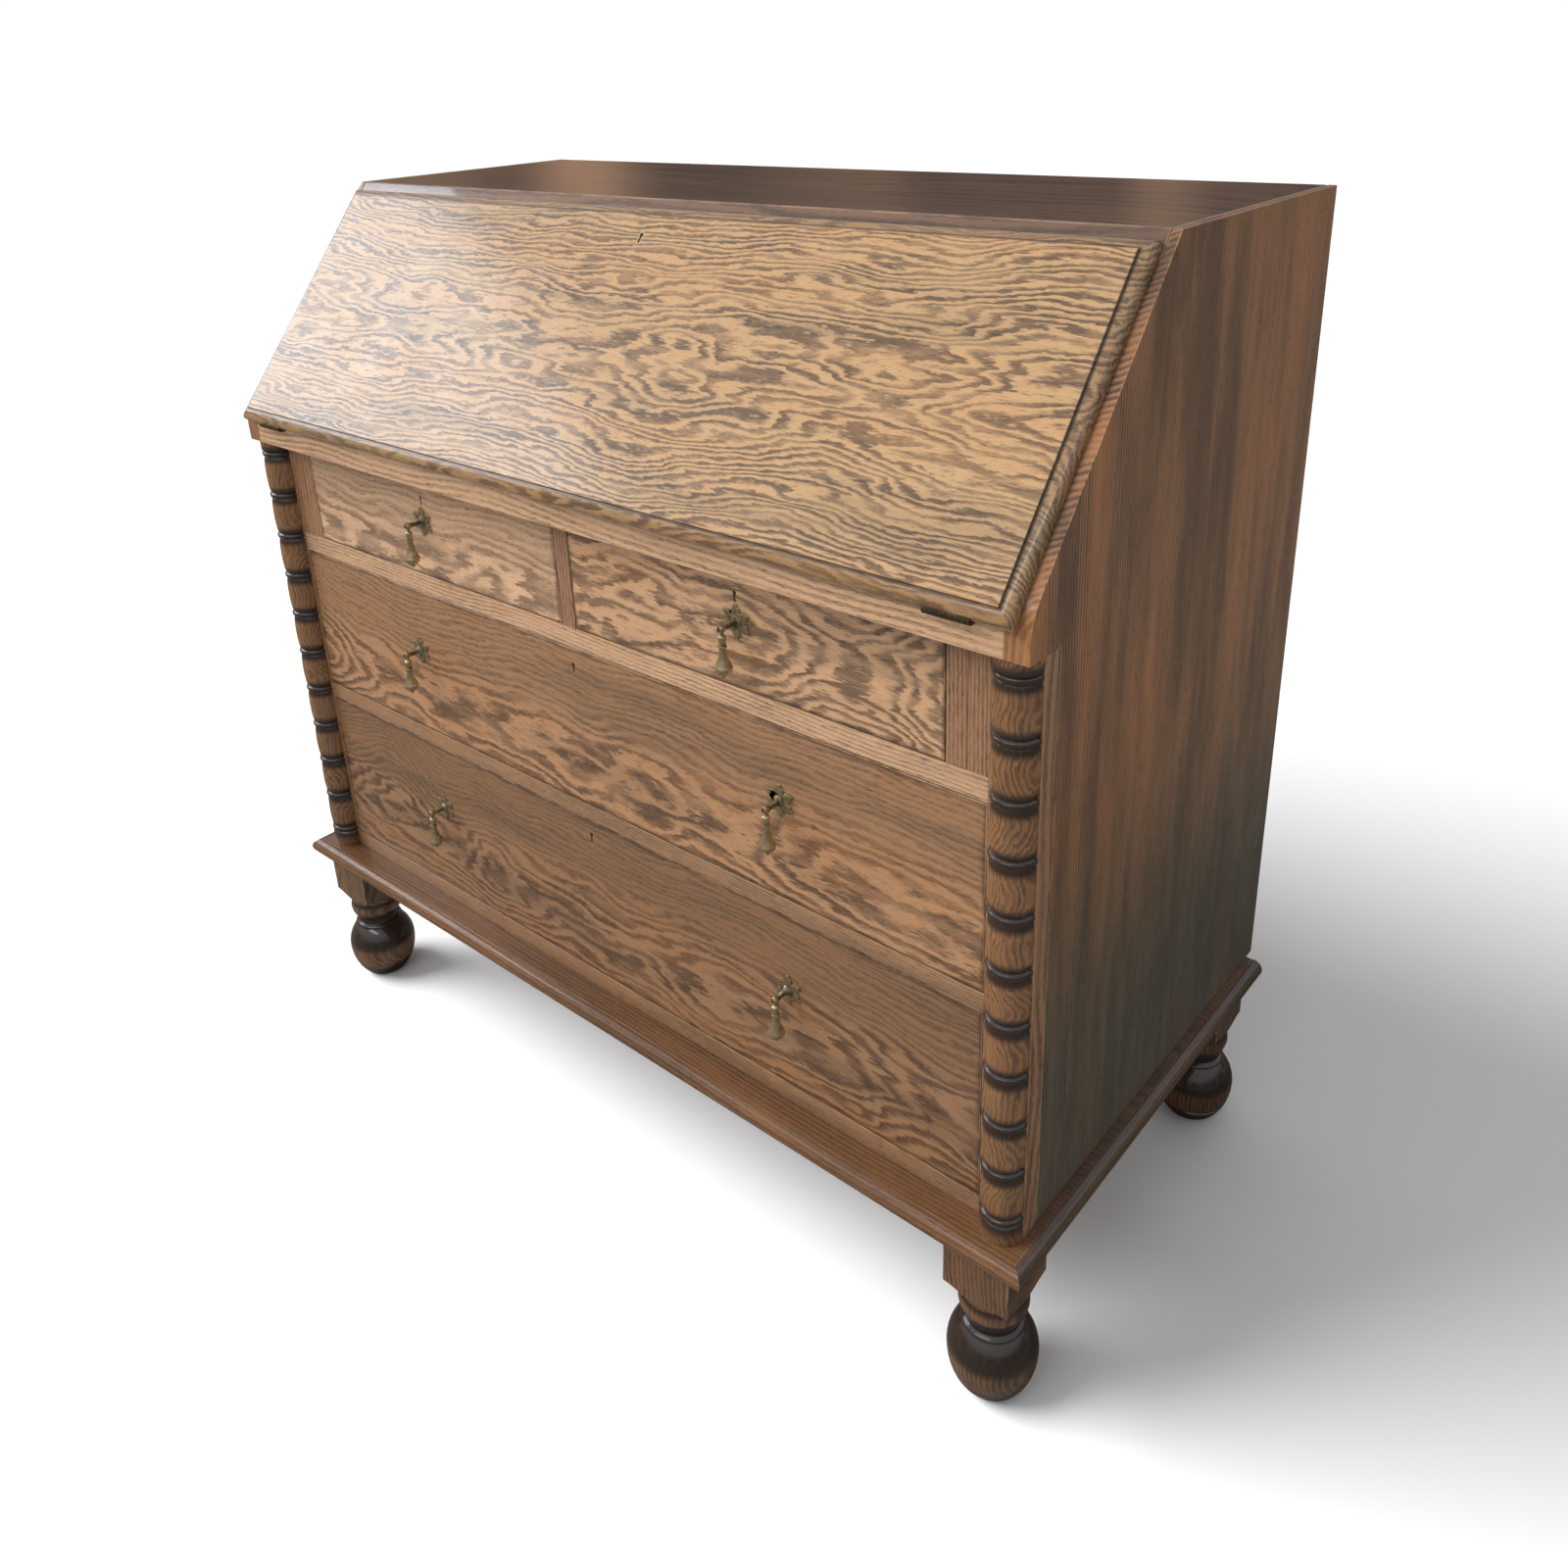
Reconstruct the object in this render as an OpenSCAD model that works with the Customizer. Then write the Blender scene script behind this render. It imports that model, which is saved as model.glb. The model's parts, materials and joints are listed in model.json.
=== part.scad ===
// Slant-front writing bureau in oak: a case of drawers on four bun feet, with a fall front
// that opens onto two pull-out lopers, and split turnings planted on the front corners.
// Millimetres, +Z up. The origin is the centre of the footprint, on the floor.
// +X is to the right of a person sitting at the desk, and the front faces -Y.
// Depths written as "behind the front" are measured from the front face of the frieze.

/* [Case] */
// Width over the two side panels
case_w = 1030; // [900:5:1400]
// Depth from the frieze to the back
case_d = 504; // [410:2:640]
// Thickness of the side panels
side_t = 21; // [16:1:26]
// Thickness of the top board
top_t = 20; // [16:1:26]
// Wood left outside the lapped ends of the top board
top_lap = 8; // [5:1:12]
// Thickness of the back panel
back_t = 9; // [5:1:14]
// Thickness of the board that forms the writing bed
bed_t = 16; // [12:1:22]
// Height of the frieze rail under the writing bed
frieze_h = 33; // [26:1:48]
// Thickness of the frieze rail
frieze_t = 22; // [18:1:28]
// Radius of the eased corner between the slope and the front of each side
slope_ease_r = 50; // [10:1:60]

/* [Fall front] */
// Depth of the slope, from the writing bed to the top board
fall_run = 195; // [150:1:240]
// Height of the slope
fall_rise = 236; // [180:1:300]
// Case edge left showing at each side of the fall
fall_side_reveal = 10; // [6:1:16]
// Case edge left showing above the fall
fall_top_reveal = 13.5; // [8:0.5:20]
// How far the fall hangs below the writing bed, along the slope
fall_lip_drop = 9; // [6:0.5:12]
// How far the field of the fall stands proud of the slope
fall_proud = 12; // [8:0.5:16]
// Depth of the tongue that enters the case, which brings the open fall level with the bed
fall_tongue = 7.6; // [5:0.1:10]
// Width of the rounded edge of the fall
fall_round_w = 10; // [6:0.5:14]
// Height of the quirk between the rounded edge and the flat field
fall_quirk_h = 1.8; // [1:0.2:3]

/* [Drawers] */
// Height of the opening for the two short drawers
short_open_h = 112; // [90:1:150]
// Height of the opening for the upper long drawer
upper_open_h = 176; // [120:1:230]
// Height of the opening for the lower long drawer
lower_open_h = 196; // [120:1:260]
// Height of the rail under the short drawers
upper_rail_h = 22; // [16:1:30]
// Height of the rail between the long drawers
middle_rail_h = 18; // [16:1:30]
// Height of the rail under the lower drawer
bottom_rail_h = 20; // [16:1:30]
// How far the drawers and stiles stand behind the frieze
front_step = 22; // [16:1:30]
// Thickness of the drawer fronts
drawer_front_t = 20; // [16:1:26]
// Thickness of the drawer sides
drawer_side_t = 10; // [8:1:14]
// Thickness of the drawer backs
drawer_back_t = 9; // [7:1:12]
// Thickness of the drawer bottoms
drawer_bottom_t = 6; // [4:1:10]
// Height of the drawer bottom above the lower edge of the drawer
drawer_bottom_up = 8; // [5:1:12]
// How far the drawer sides stop below the top of the front
drawer_side_down = 5; // [2:1:15]
// Space left behind the drawer boxes
box_back_gap = 28; // [15:1:60]
// Gap around each drawer front
front_gap = 1; // [0.6:0.1:2]

/* [Frame around the drawers] */
// Width of the corner stiles that carry the split turnings
stile_w = 44; // [42:1:60]
// Thickness of the stiles and rails, front to back
stile_t = 21; // [16:1:28]
// Width of the short stiles outside the lopers
loper_stile_w = 19; // [14:1:26]
// Thickness of the lopers
loper_t = 19; // [14:1:26]
// Thickness of the guides beside the lopers
loper_guide_t = 9; // [6:1:12]
// Thickness of the board between the short drawers
divider_t = 19; // [14:1:26]
// Thickness of the dust boards behind the rails
dust_t = 12; // [8:1:14]

/* [Split turnings] */
// Largest radius of the split turnings
column_r = 20; // [16:0.5:21]
// Radius at the necks on each side of a ring
column_neck_r = 17.8; // [14:0.1:19]
// Number of rings on each turning
ring_count = 11; // [5:1:15]
// Height of each ring
ring_h = 6; // [4:0.5:9]
// Centre of the top ring below the frieze
ring_top = 16.6; // [10:0.1:30]
// Centre of the bottom ring above the base
ring_bottom = 23.2; // [10:0.1:40]

/* [Base and feet] */
// Thickness of the base board and its nosing
base_t = 20; // [16:1:26]
// How far the nosing stands out from the side panels
nose_side = 18; // [14:1:30]
// How far the nosing stands out in front of the frieze
nose_front = 14; // [13:1:26]
// How far the base stops short of the back, to clear a skirting board
base_back_step = 12; // [0:1:25]
// Width of the square foot blocks
block_w = 66; // [50:1:76]
// Height of the foot blocks
block_h = 68; // [40:1:90]
// Height of the turned part of the feet
foot_turned_h = 113; // [90:1:150]
// Largest radius of the feet
foot_r = 41.7; // [34:0.1:50]
// Radius of the flat that stands on the floor
foot_base_r = 25; // [18:0.5:30]

/* [Drop handles] */
// Distance from the centre line to a short drawer's handle
short_handle_x = 222; // [120:1:300]
// Distance from the centre line to a long drawer's handles
long_handle_x = 262; // [120:1:340]
// Height of a short drawer's handle above the bottom of its opening
short_handle_up = 63.5; // [40:0.5:90]
// Height of the upper long drawer's handles above the bottom of its opening
upper_handle_up = 102; // [60:1:140]
// Height of the lower long drawer's handles above the bottom of its opening
lower_handle_up = 114; // [60:1:150]
// Reach of a handle's post in front of the drawer
post_reach = 19; // [16:0.5:20]
// Length of the hanging drop below its pin
drop_len = 46; // [30:1:60]
// Largest radius of the drop
drop_r = 8; // [5:0.1:9]

/* [Inside the desk] */
// Depth of the pigeonholes
gallery_d = 180; // [100:1:200]
// Height of the pigeonholes
gallery_h = 150; // [100:1:180]
// Thickness of the pigeonhole shelf and its dividers
gallery_t = 8; // [5:1:12]
// Number of pigeonhole dividers
gallery_dividers = 4; // [1:1:8]

/* [Hidden] */
$fn = 48;

// clearances
glue_gap = 0.1;        // between pieces of one drawer box, so each stays a piece of its own
slide_gap = 0.5;       // around anything that slides
fall_gap = 0.3;        // between the closed fall and the case
tongue_gap = 1;        // around the tongue of the fall
lock_gap = 0.2;        // around a lock in its pocket
pin_gap = 0.05;        // radial, around hinge pins

// heights
base_z = foot_turned_h + block_h;
shelf_z = base_z + base_t;
lower_z = shelf_z + bottom_rail_h;
middle_rail_z = lower_z + lower_open_h;
upper_z = middle_rail_z + middle_rail_h;
upper_rail_z = upper_z + upper_open_h;
short_z = upper_rail_z + upper_rail_h;
frieze_z = short_z + short_open_h;
writing_z = frieze_z + frieze_h;
top_z = writing_z + fall_rise;

// depths, and the row's own Y of the frieze face
face_y = nose_front - (case_d + nose_front) / 2;
frame_back = front_step + stile_t;
back_face = case_d - back_t;
base_back = case_d - base_back_step;

// widths, each measured from the centre line
half_w = case_w / 2;
inner_x = half_w - side_t;
bay_x = half_w - stile_w;
loper_x1 = bay_x - loper_stile_w - slide_gap;
loper_x0 = loper_x1 - loper_t;
short_x0 = divider_t / 2 + front_gap;
short_x1 = loper_x0 - front_gap;
short_box_x1 = short_x1 - loper_guide_t - slide_gap;
column_x = half_w - column_r - 0.4;

// the slope
slope_angle = atan2(fall_rise, fall_run);
slope_len = norm([fall_run, fall_rise]);
fall_top_s = slope_len - fall_top_reveal;
fall_half_w = half_w - fall_side_reveal;
tongue_s0 = (fall_tongue * cos(slope_angle) + fall_gap) / sin(slope_angle) + 1.7;
tongue_s1 = slope_len - top_t / sin(slope_angle) - tongue_gap;
fall_lock_w = 64;
fall_lock_h = 36;
fall_lock_t = 9;
fall_key_s = tongue_s1 - 23;

// the fall's hinges
knuckle_r = 4;
hinge_pin_r = 1.5;
hinge_w = 40;
hinge_x = bay_x - 9;
hinge_leaf_t = 2;
hinge_leaf_d = 16;
hinge_axis_y = -5;
hinge_axis_down = 7;
knuckle_gap = 0.4;

// locks and keyholes
lock_w = 50;
lock_h = 36;
lock_t = 9.5;
key_r = 2.1;
key_slot_w = 2.2;
key_h = 10.5;
short_key_down = 25;
long_key_down = 20;

// the drop handles
post_r = 2.6;
knob_r = 3.9;
eye_w = 2.4;
eye_r = 2.3;
eye_pin_r = 0.9;
stem_r = 2;
rose_t = 1.8;

// ---------------------------------------------------------------- helpers

// a plain board: width, depth behind the frieze face and height as [low, high]
module board(x, y, z) {
    translate([x[0], face_y + y[0], z[0]])
        cube([x[1] - x[0], y[1] - y[0], z[1] - z[0]]);
}

// an outline of [depth, height] points, extruded from x[0] to x[1]
module side_outline(x, points) {
    translate([x[0], face_y, 0])
        rotate([90, 0, 90])
            linear_extrude(x[1] - x[0])
                polygon(points);
}

// children() made on the right, and mirrored when side is -1
module on_side(side) {
    mirror([side < 0 ? 1 : 0, 0, 0])
        children();
}

// local axes of the slope: y up the slope from the writing bed, z out of its surface
module on_slope() {
    translate([0, face_y, writing_z])
        rotate([slope_angle, 0, 0])
            children();
}

// points of a circular arc that eases the corner between the slope and a vertical front
function eased_corner(r, steps) = [
    for (i = [0 : steps])
        let (a = i / steps * (90 - slope_angle), start = r * tan((90 - slope_angle) / 2))
            [r * (1 - cos(a)), writing_z - start + r * sin(a)]
];

// points of an elliptical arc in a turning: radius against height
function arc_r(z, mid_z, half_h, r) = r * sqrt(max(0, 1 - pow((z - mid_z) / half_h, 2)));

// keyhole, upright, centred on its height
module keyhole(grow = 0) {
    translate([0, key_h / 2 - key_r])
        circle(r = key_r + grow);
    translate([-key_slot_w / 2 - grow, -key_h / 2 - grow])
        square([key_slot_w + 2 * grow, key_h - key_r + grow]);
}

// ---------------------------------------------------------------- case

module side_panel(side) {
    color("saddlebrown")
        on_side(side)
            difference() {
                side_outline([inner_x, half_w], concat(
                    [[frame_back, shelf_z], [case_d, shelf_z], [case_d, top_z], [fall_run, top_z]],
                    [for (i = [8 : -1 : 0]) eased_corner(slope_ease_r, 8)[i]],
                    [[0, frieze_z], [frame_back, frieze_z]]
                ));
                // lap for the top board
                board([inner_x - 1, half_w - top_lap], [-1, case_d + 1], [top_z - top_t, top_z + 1]);
                // rebate for the back panel
                board([inner_x - 1, half_w - top_lap], [back_face, case_d + 1], [shelf_z - 1, top_z - top_t + 1]);
            }
}

module side_panel_left() side_panel(-1);
module side_panel_right() side_panel(1);

module top_board() {
    color("saddlebrown")
        side_outline([top_lap - half_w, half_w - top_lap], [
            [fall_run, top_z],
            [case_d, top_z],
            [case_d, top_z - top_t],
            [fall_run - top_t / tan(slope_angle), top_z - top_t]
        ]);
}

module back_panel() {
    color("sienna")
        board([top_lap - half_w, half_w - top_lap], [back_face, case_d], [shelf_z, top_z - top_t]);
}

module writing_bed() {
    color("peru")
        board([-inner_x, inner_x], [frieze_t, back_face], [writing_z - bed_t, writing_z]);
}

module frieze_rail() {
    color("saddlebrown")
        difference() {
            board([-inner_x, inner_x], [0, frieze_t], [frieze_z, writing_z]);
            for (side = [-1, 1])
                on_side(side)
                    fixed_leaf_plates(0, 1);
        }
}

// ---------------------------------------------------------------- frame around the drawers

module stile(side) {
    color("sienna")
        on_side(side)
            board([bay_x, half_w], [front_step, frame_back], [shelf_z, frieze_z]);
}

module stile_left() stile(-1);
module stile_right() stile(1);

module loper_stile(side) {
    color("sienna")
        on_side(side)
            board([loper_x1 + slide_gap, bay_x], [front_step, frame_back], [short_z, frieze_z]);
}

module loper_stile_left() loper_stile(-1);
module loper_stile_right() loper_stile(1);

module centre_divider() {
    color("sienna")
        board([-divider_t / 2, divider_t / 2], [front_step, back_face], [short_z, frieze_z]);
}

// boards that keep each loper upright, inside and outside it
module loper_guides() {
    color("burlywood")
        for (side = [-1, 1])
            on_side(side) {
                board([short_x1 - loper_guide_t, short_x1],
                      [front_step + drawer_front_t + slide_gap, back_face], [short_z, frieze_z]);
                board([loper_x1 + slide_gap, loper_x1 + slide_gap + loper_guide_t],
                      [frame_back, back_face], [short_z, frieze_z]);
            }
}

module rail(z, h) {
    color("sienna")
        board([-bay_x, bay_x], [front_step, frame_back], [z, z + h]);
}

module rail_upper() rail(upper_rail_z, upper_rail_h);
module rail_middle() rail(middle_rail_z, middle_rail_h);
module rail_bottom() rail(shelf_z, bottom_rail_h);

module dust_board(top) {
    color("burlywood")
        board([-inner_x, inner_x], [frame_back, back_face], [top - dust_t, top]);
}

module dust_board_upper() dust_board(short_z);
module dust_board_middle() dust_board(upper_z);

// battens beside the long drawers, and the two that the lower drawer runs on
module drawer_runners() {
    guide_h = 24;
    color("burlywood")
        for (side = [-1, 1])
            on_side(side) {
                board([bay_x + slide_gap, inner_x], [frame_back, back_face], [upper_z, upper_z + guide_h]);
                board([bay_x - 2 * guide_h, inner_x], [frame_back, back_face], [shelf_z, lower_z]);
            }
}

// half profile of a split turning, as [radius, height] from the base up
function ring_z(i) =
    shelf_z + ring_bottom + i * (frieze_z - ring_top - shelf_z - ring_bottom) / (ring_count - 1);

function ring_points(i, steps) = [
    for (k = [0 : steps])
        [column_neck_r + (column_r - column_neck_r) * pow(sin(180 * k / steps), 0.6),
         ring_z(i) + ring_h * (k / steps - 0.5)]
];

function barrel_points(z0, z1, steps) = [
    for (k = [0 : steps])
        let (t = 2 * k / steps - 1)
            [column_neck_r + (column_r - column_neck_r) * sqrt(1 - t * t), z0 + (z1 - z0) * k / steps]
];

column_points = concat(
    [[0, shelf_z], [column_r, shelf_z], [column_r, shelf_z + ring_bottom - ring_h - 2]],
    [for (i = [0 : ring_count - 1])
        for (p = concat(
            ring_points(i, 6),
            i == ring_count - 1 ? [] : barrel_points(
                ring_z(i) + ring_h / 2 + 0.6, ring_z(i + 1) - ring_h / 2 - 0.6, 10)
        )) p],
    [[column_r, frieze_z - ring_top + ring_h + 1], [column_r, frieze_z], [0, frieze_z]]
);

module column(side) {
    color("#3c2415")
        on_side(side)
            difference() {
                translate([column_x, face_y + front_step, 0])
                    rotate_extrude()
                        polygon(column_points);
                board([bay_x - 10, half_w + 10], [front_step, front_step + 2 * column_r], [shelf_z - 1, frieze_z + 1]);
            }
}

module column_left() column(-1);
module column_right() column(1);

// ---------------------------------------------------------------- base

nose_d = base_t / 2;
base_half_w = half_w + nose_side - nose_d;
base_front = nose_d - nose_front;

module base_board() {
    color("#4a2f1b")
        board([-base_half_w, base_half_w], [base_front, base_back], [base_z, shelf_z]);
}

// plan of the front nosing: mitred ends that reach the outer corners
module nosing_front() {
    color("#4a2f1b")
        intersection() {
            translate([-base_half_w - base_t, face_y + base_front, base_z + nose_d])
                rotate([0, 90, 0])
                    cylinder(r = nose_d, h = 2 * (base_half_w + base_t));
            translate([0, face_y + base_front, base_z - 1])
                linear_extrude(base_t + 2)
                    polygon([[-base_half_w, 0], [base_half_w, 0],
                             [base_half_w + nose_d, -nose_d], [-base_half_w - nose_d, -nose_d]]);
        }
}

module nosing_side(side) {
    color("#4a2f1b")
        on_side(side)
            intersection() {
                translate([base_half_w, face_y + base_back, base_z + nose_d])
                    rotate([90, 0, 0])
                        cylinder(r = nose_d, h = base_back - base_front + base_t);
                translate([base_half_w, face_y, base_z - 1])
                    linear_extrude(base_t + 2)
                        polygon([[0, base_front], [nose_d, base_front - nose_d],
                                 [nose_d, base_back], [0, base_back]]);
            }
}

module nosing_left() nosing_side(-1);
module nosing_right() nosing_side(1);

// ---------------------------------------------------------------- feet

foot_x = half_w - block_w / 2 - 0.5;
foot_front_y = block_w / 2 + 0.5;
foot_back_y = base_back - block_w / 2;
tenon_r = 12;
tenon_h = 34;
block_neck_r = 29.5;
block_shoulder_h = 14;

module foot_block() {
    corner_r = block_w * sqrt(2) / 2 + 1;
    steps = 8;
    difference() {
        intersection() {
            translate([-block_w / 2, -block_w / 2, foot_turned_h])
                cube([block_w, block_w, block_h]);
            // turned shoulder: the corners sweep in to the neck in a hollow
            rotate_extrude()
                polygon(concat(
                    [[0, foot_turned_h]],
                    [for (k = [0 : steps])
                        [block_neck_r + (corner_r - block_neck_r) * (1 - cos(90 * k / steps)),
                         foot_turned_h + block_shoulder_h * sin(90 * k / steps)]],
                    [[corner_r, base_z + 1], [0, base_z + 1]]
                ));
        }
        translate([0, 0, foot_turned_h - 1])
            cylinder(r = tenon_r, h = tenon_h + 1);
    }
}

module foot_blocks() {
    color("#3c2415")
        for (x = [-foot_x, foot_x])
            for (y = [foot_front_y, foot_back_y])
                translate([x, face_y + y, 0])
                    foot_block();
}

// heights up a bun foot
bun_mid_z = 43.7;
bun_top_z = 74;
groove_z = 20;
groove_half = 1.8;
groove_deep = 2;
bead_top_z = 80;

function lower_bun_r(z) = arc_r(z, bun_mid_z, bun_mid_z / sqrt(1 - pow(foot_base_r / foot_r, 2)), foot_r);

foot_points = concat(
    [[0, 0], [foot_base_r, 0]],
    [for (k = [1 : 4]) let (z = k * (groove_z - groove_half) / 4) [lower_bun_r(z), z]],
    [[lower_bun_r(groove_z) - groove_deep, groove_z]],
    [for (k = [0 : 5]) let (z = groove_z + groove_half + k * (bun_mid_z - groove_z - groove_half) / 5)
        [lower_bun_r(z), z]],
    [for (k = [1 : 9]) let (z = bun_mid_z + k * (bun_top_z - bun_mid_z) / 9)
        [arc_r(z, bun_mid_z, 41, foot_r), z]],
    // bead, then a hollow neck and a cushion under the block
    [for (k = [0 : 5]) [27.5 + 2 * sin(180 * k / 5), bun_top_z + 0.6 + 5 * k / 5]],
    [for (k = [0 : 6]) [25.5 + 3 * pow(1 - cos(90 * k / 6), 1), bead_top_z + 1 + 11 * k / 6]],
    [for (k = [0 : 7]) [29.5 + 2.5 * sin(180 * k / 7), bead_top_z + 13.5 + (foot_turned_h - bead_top_z - 14) * k / 7]],
    [[29.5, foot_turned_h], [tenon_r - 0.1, foot_turned_h],
     [tenon_r - 0.1, foot_turned_h + tenon_h - 1], [0, foot_turned_h + tenon_h - 1]]
);

module foot(x, y) {
    color("#3c2415")
        translate([x, face_y + y, 0])
            rotate_extrude()
                polygon(foot_points);
}

module foot_front_left() foot(-foot_x, foot_front_y);
module foot_front_right() foot(foot_x, foot_front_y);
module foot_back_left() foot(-foot_x, foot_back_y);
module foot_back_right() foot(foot_x, foot_back_y);

// ---------------------------------------------------------------- inside the desk

gallery_front = back_face - gallery_d;
gallery_pitch = 2 * inner_x / (gallery_dividers + 1);

module pigeonhole_shelf() {
    color("peru")
        board([-inner_x, inner_x], [gallery_front, back_face],
              [writing_z + gallery_h, writing_z + gallery_h + gallery_t]);
}

module pigeonhole_dividers() {
    color("peru")
        for (i = [1 : gallery_dividers])
            let (x = -inner_x + i * gallery_pitch)
                board([x - gallery_t / 2, x + gallery_t / 2], [gallery_front, back_face],
                      [writing_z, writing_z + gallery_h]);
}

// ---------------------------------------------------------------- hinges of the fall

hinge_x0 = hinge_x - hinge_w / 2 - 11;
knuckle_w = (hinge_w - 2 * knuckle_gap) / 3;

// the two plates of a fixed leaf, grown by a clearance, and carried past the faces by past
module fixed_leaf_plates(grow, past) {
    board([hinge_x0 - grow, hinge_x0 + hinge_w + grow], [-past, hinge_leaf_d + grow],
          [writing_z - hinge_leaf_t - grow, writing_z + past]);
    board([hinge_x0 - grow, hinge_x0 + hinge_w + grow], [-past, hinge_leaf_t + grow],
          [writing_z - 11, writing_z + past]);
}

module at_hinge_axis() {
    translate([0, face_y + hinge_axis_y, writing_z - hinge_axis_down])
        rotate([0, 90, 0])
            children();
}

// cylinder on the hinge axis from x0, w long
module on_axis(r, x0, w) {
    at_hinge_axis()
        translate([0, 0, x0])
            cylinder(r = r, h = w);
}

module hinge_fixed_leaves() {
    color("#8a7a4c")
        for (side = [-1, 1])
            on_side(side) {
                intersection() {
                    fixed_leaf_plates(0, 0);
                    // chamfered under the slope, so the closed fall clears it
                    side_outline([hinge_x0, hinge_x0 + hinge_w],
                        [[0, writing_z - 11], [0, writing_z - 0.4], [0.4, writing_z],
                         [hinge_leaf_d, writing_z], [hinge_leaf_d, writing_z - 11]]);
                }
                for (x0 = [hinge_x0, hinge_x0 + 2 * (knuckle_w + knuckle_gap)]) {
                    on_axis(knuckle_r, x0, knuckle_w);
                    board([x0, x0 + knuckle_w], [hinge_axis_y, 1],
                          [writing_z - 11, writing_z - 9]);
                }
                on_axis(hinge_pin_r, hinge_x0, hinge_w);
            }
}

// the axis of the hinges in the slope's own directions: up the slope and out of it
axis_s = hinge_axis_y * cos(slope_angle) - hinge_axis_down * sin(slope_angle);
leaf_s1 = tongue_s0 - 0.3;

module hinge_moving_leaves() {
    x1 = hinge_x0 + knuckle_w + knuckle_gap;
    color("#8a7a4c")
        for (side = [-1, 1])
            on_side(side)
                difference() {
                    union() {
                        on_slope() {
                            translate([hinge_x0, axis_s + knuckle_r + 0.8, fall_gap])
                                cube([hinge_w, leaf_s1 - axis_s - knuckle_r - 0.8, hinge_leaf_t]);
                            translate([x1, axis_s, fall_gap])
                                cube([knuckle_w, knuckle_r + 2, hinge_leaf_t]);
                        }
                        on_axis(knuckle_r, x1, knuckle_w);
                    }
                    on_axis(hinge_pin_r + pin_gap, x1 - 1, knuckle_w + 2);
                }
}

// ---------------------------------------------------------------- fall

// section of the moulded fall between two edges, as [place, height out of the slope]
function fall_section(a, b) = concat(
    [[a, fall_gap]],
    [for (k = [0 : 8])
        [a + fall_round_w * (1 - cos(90 * k / 8)),
         2 + (fall_proud - fall_quirk_h - 2) * sin(90 * k / 8)]],
    [[a + fall_round_w + 1, fall_proud - fall_quirk_h], [a + fall_round_w + 1.6, fall_proud],
     [b - fall_round_w - 1.6, fall_proud], [b - fall_round_w - 1, fall_proud - fall_quirk_h]],
    [for (k = [8 : -1 : 0])
        [b - fall_round_w * (1 - cos(90 * k / 8)),
         2 + (fall_proud - fall_quirk_h - 2) * sin(90 * k / 8)]],
    [[b, fall_gap]]
);

module fall_panel() {
    color("#b07a3c")
        difference() {
            on_slope()
                difference() {
                    union() {
                        // moulded face, mitred at its corners
                        intersection() {
                            translate([-fall_half_w - 1, 0, 0])
                                rotate([90, 0, 90])
                                    linear_extrude(2 * fall_half_w + 2)
                                        polygon(fall_section(-fall_lip_drop, fall_top_s));
                            translate([0, fall_top_s + 1, 0])
                                rotate([90, 0, 0])
                                    linear_extrude(fall_top_s + fall_lip_drop + 2)
                                        polygon(fall_section(-fall_half_w, fall_half_w));
                        }
                        // tongue that enters the case
                        translate([tongue_gap - inner_x, tongue_s0, -fall_tongue])
                            cube([2 * (inner_x - tongue_gap), tongue_s1 - tongue_s0, fall_tongue + 1]);
                    }
                    // pocket for the lock
                    translate([-fall_lock_w / 2, tongue_s1 - fall_lock_h, -fall_tongue - 1])
                        cube([fall_lock_w, fall_lock_h + 1, fall_lock_t + 1]);
                    // keyhole, and the seat of its escutcheon
                    translate([0, fall_key_s, -fall_tongue])
                        linear_extrude(fall_tongue + fall_proud + 1)
                            keyhole();
                    translate([0, fall_key_s, fall_proud - 2])
                        linear_extrude(3)
                            keyhole(1.2);
                    // seats for the hinge leaves
                    for (x = [hinge_x0, -hinge_x0 - hinge_w])
                        translate([x - 0.5, axis_s, -1])
                            cube([hinge_w + 1, tongue_s0 + 0.2 - axis_s, fall_gap + hinge_leaf_t + 1.1]);
                }
            // room for the knuckles
            for (x = [hinge_x0, -hinge_x0 - hinge_w])
                on_axis(knuckle_r + 0.7, x - 0.9, hinge_w + 1.8);
        }
}

module fall_lock() {
    color("#b89b52")
        on_slope()
            difference() {
                translate([lock_gap - fall_lock_w / 2, tongue_s1 - fall_lock_h + lock_gap, -fall_tongue])
                    cube([fall_lock_w - 2 * lock_gap, fall_lock_h - lock_gap, fall_lock_t - lock_gap]);
                translate([0, fall_key_s, -fall_tongue - 1])
                    linear_extrude(fall_lock_t + 2)
                        keyhole();
            }
}

module fall_escutcheon() {
    color("#b89b52")
        on_slope()
            translate([0, fall_key_s, fall_proud - 2])
                linear_extrude(2)
                    difference() {
                        keyhole(1.2);
                        keyhole();
                    }
}

// ---------------------------------------------------------------- lopers

module loper(side) {
    color("sienna")
        on_side(side)
            board([loper_x0, loper_x1], [front_step, back_face - box_back_gap],
                  [short_z + slide_gap, frieze_z - slide_gap]);
}

module loper_left() loper(-1);
module loper_right() loper(1);

// ---------------------------------------------------------------- drawers

front_back = front_step + drawer_front_t;

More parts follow.
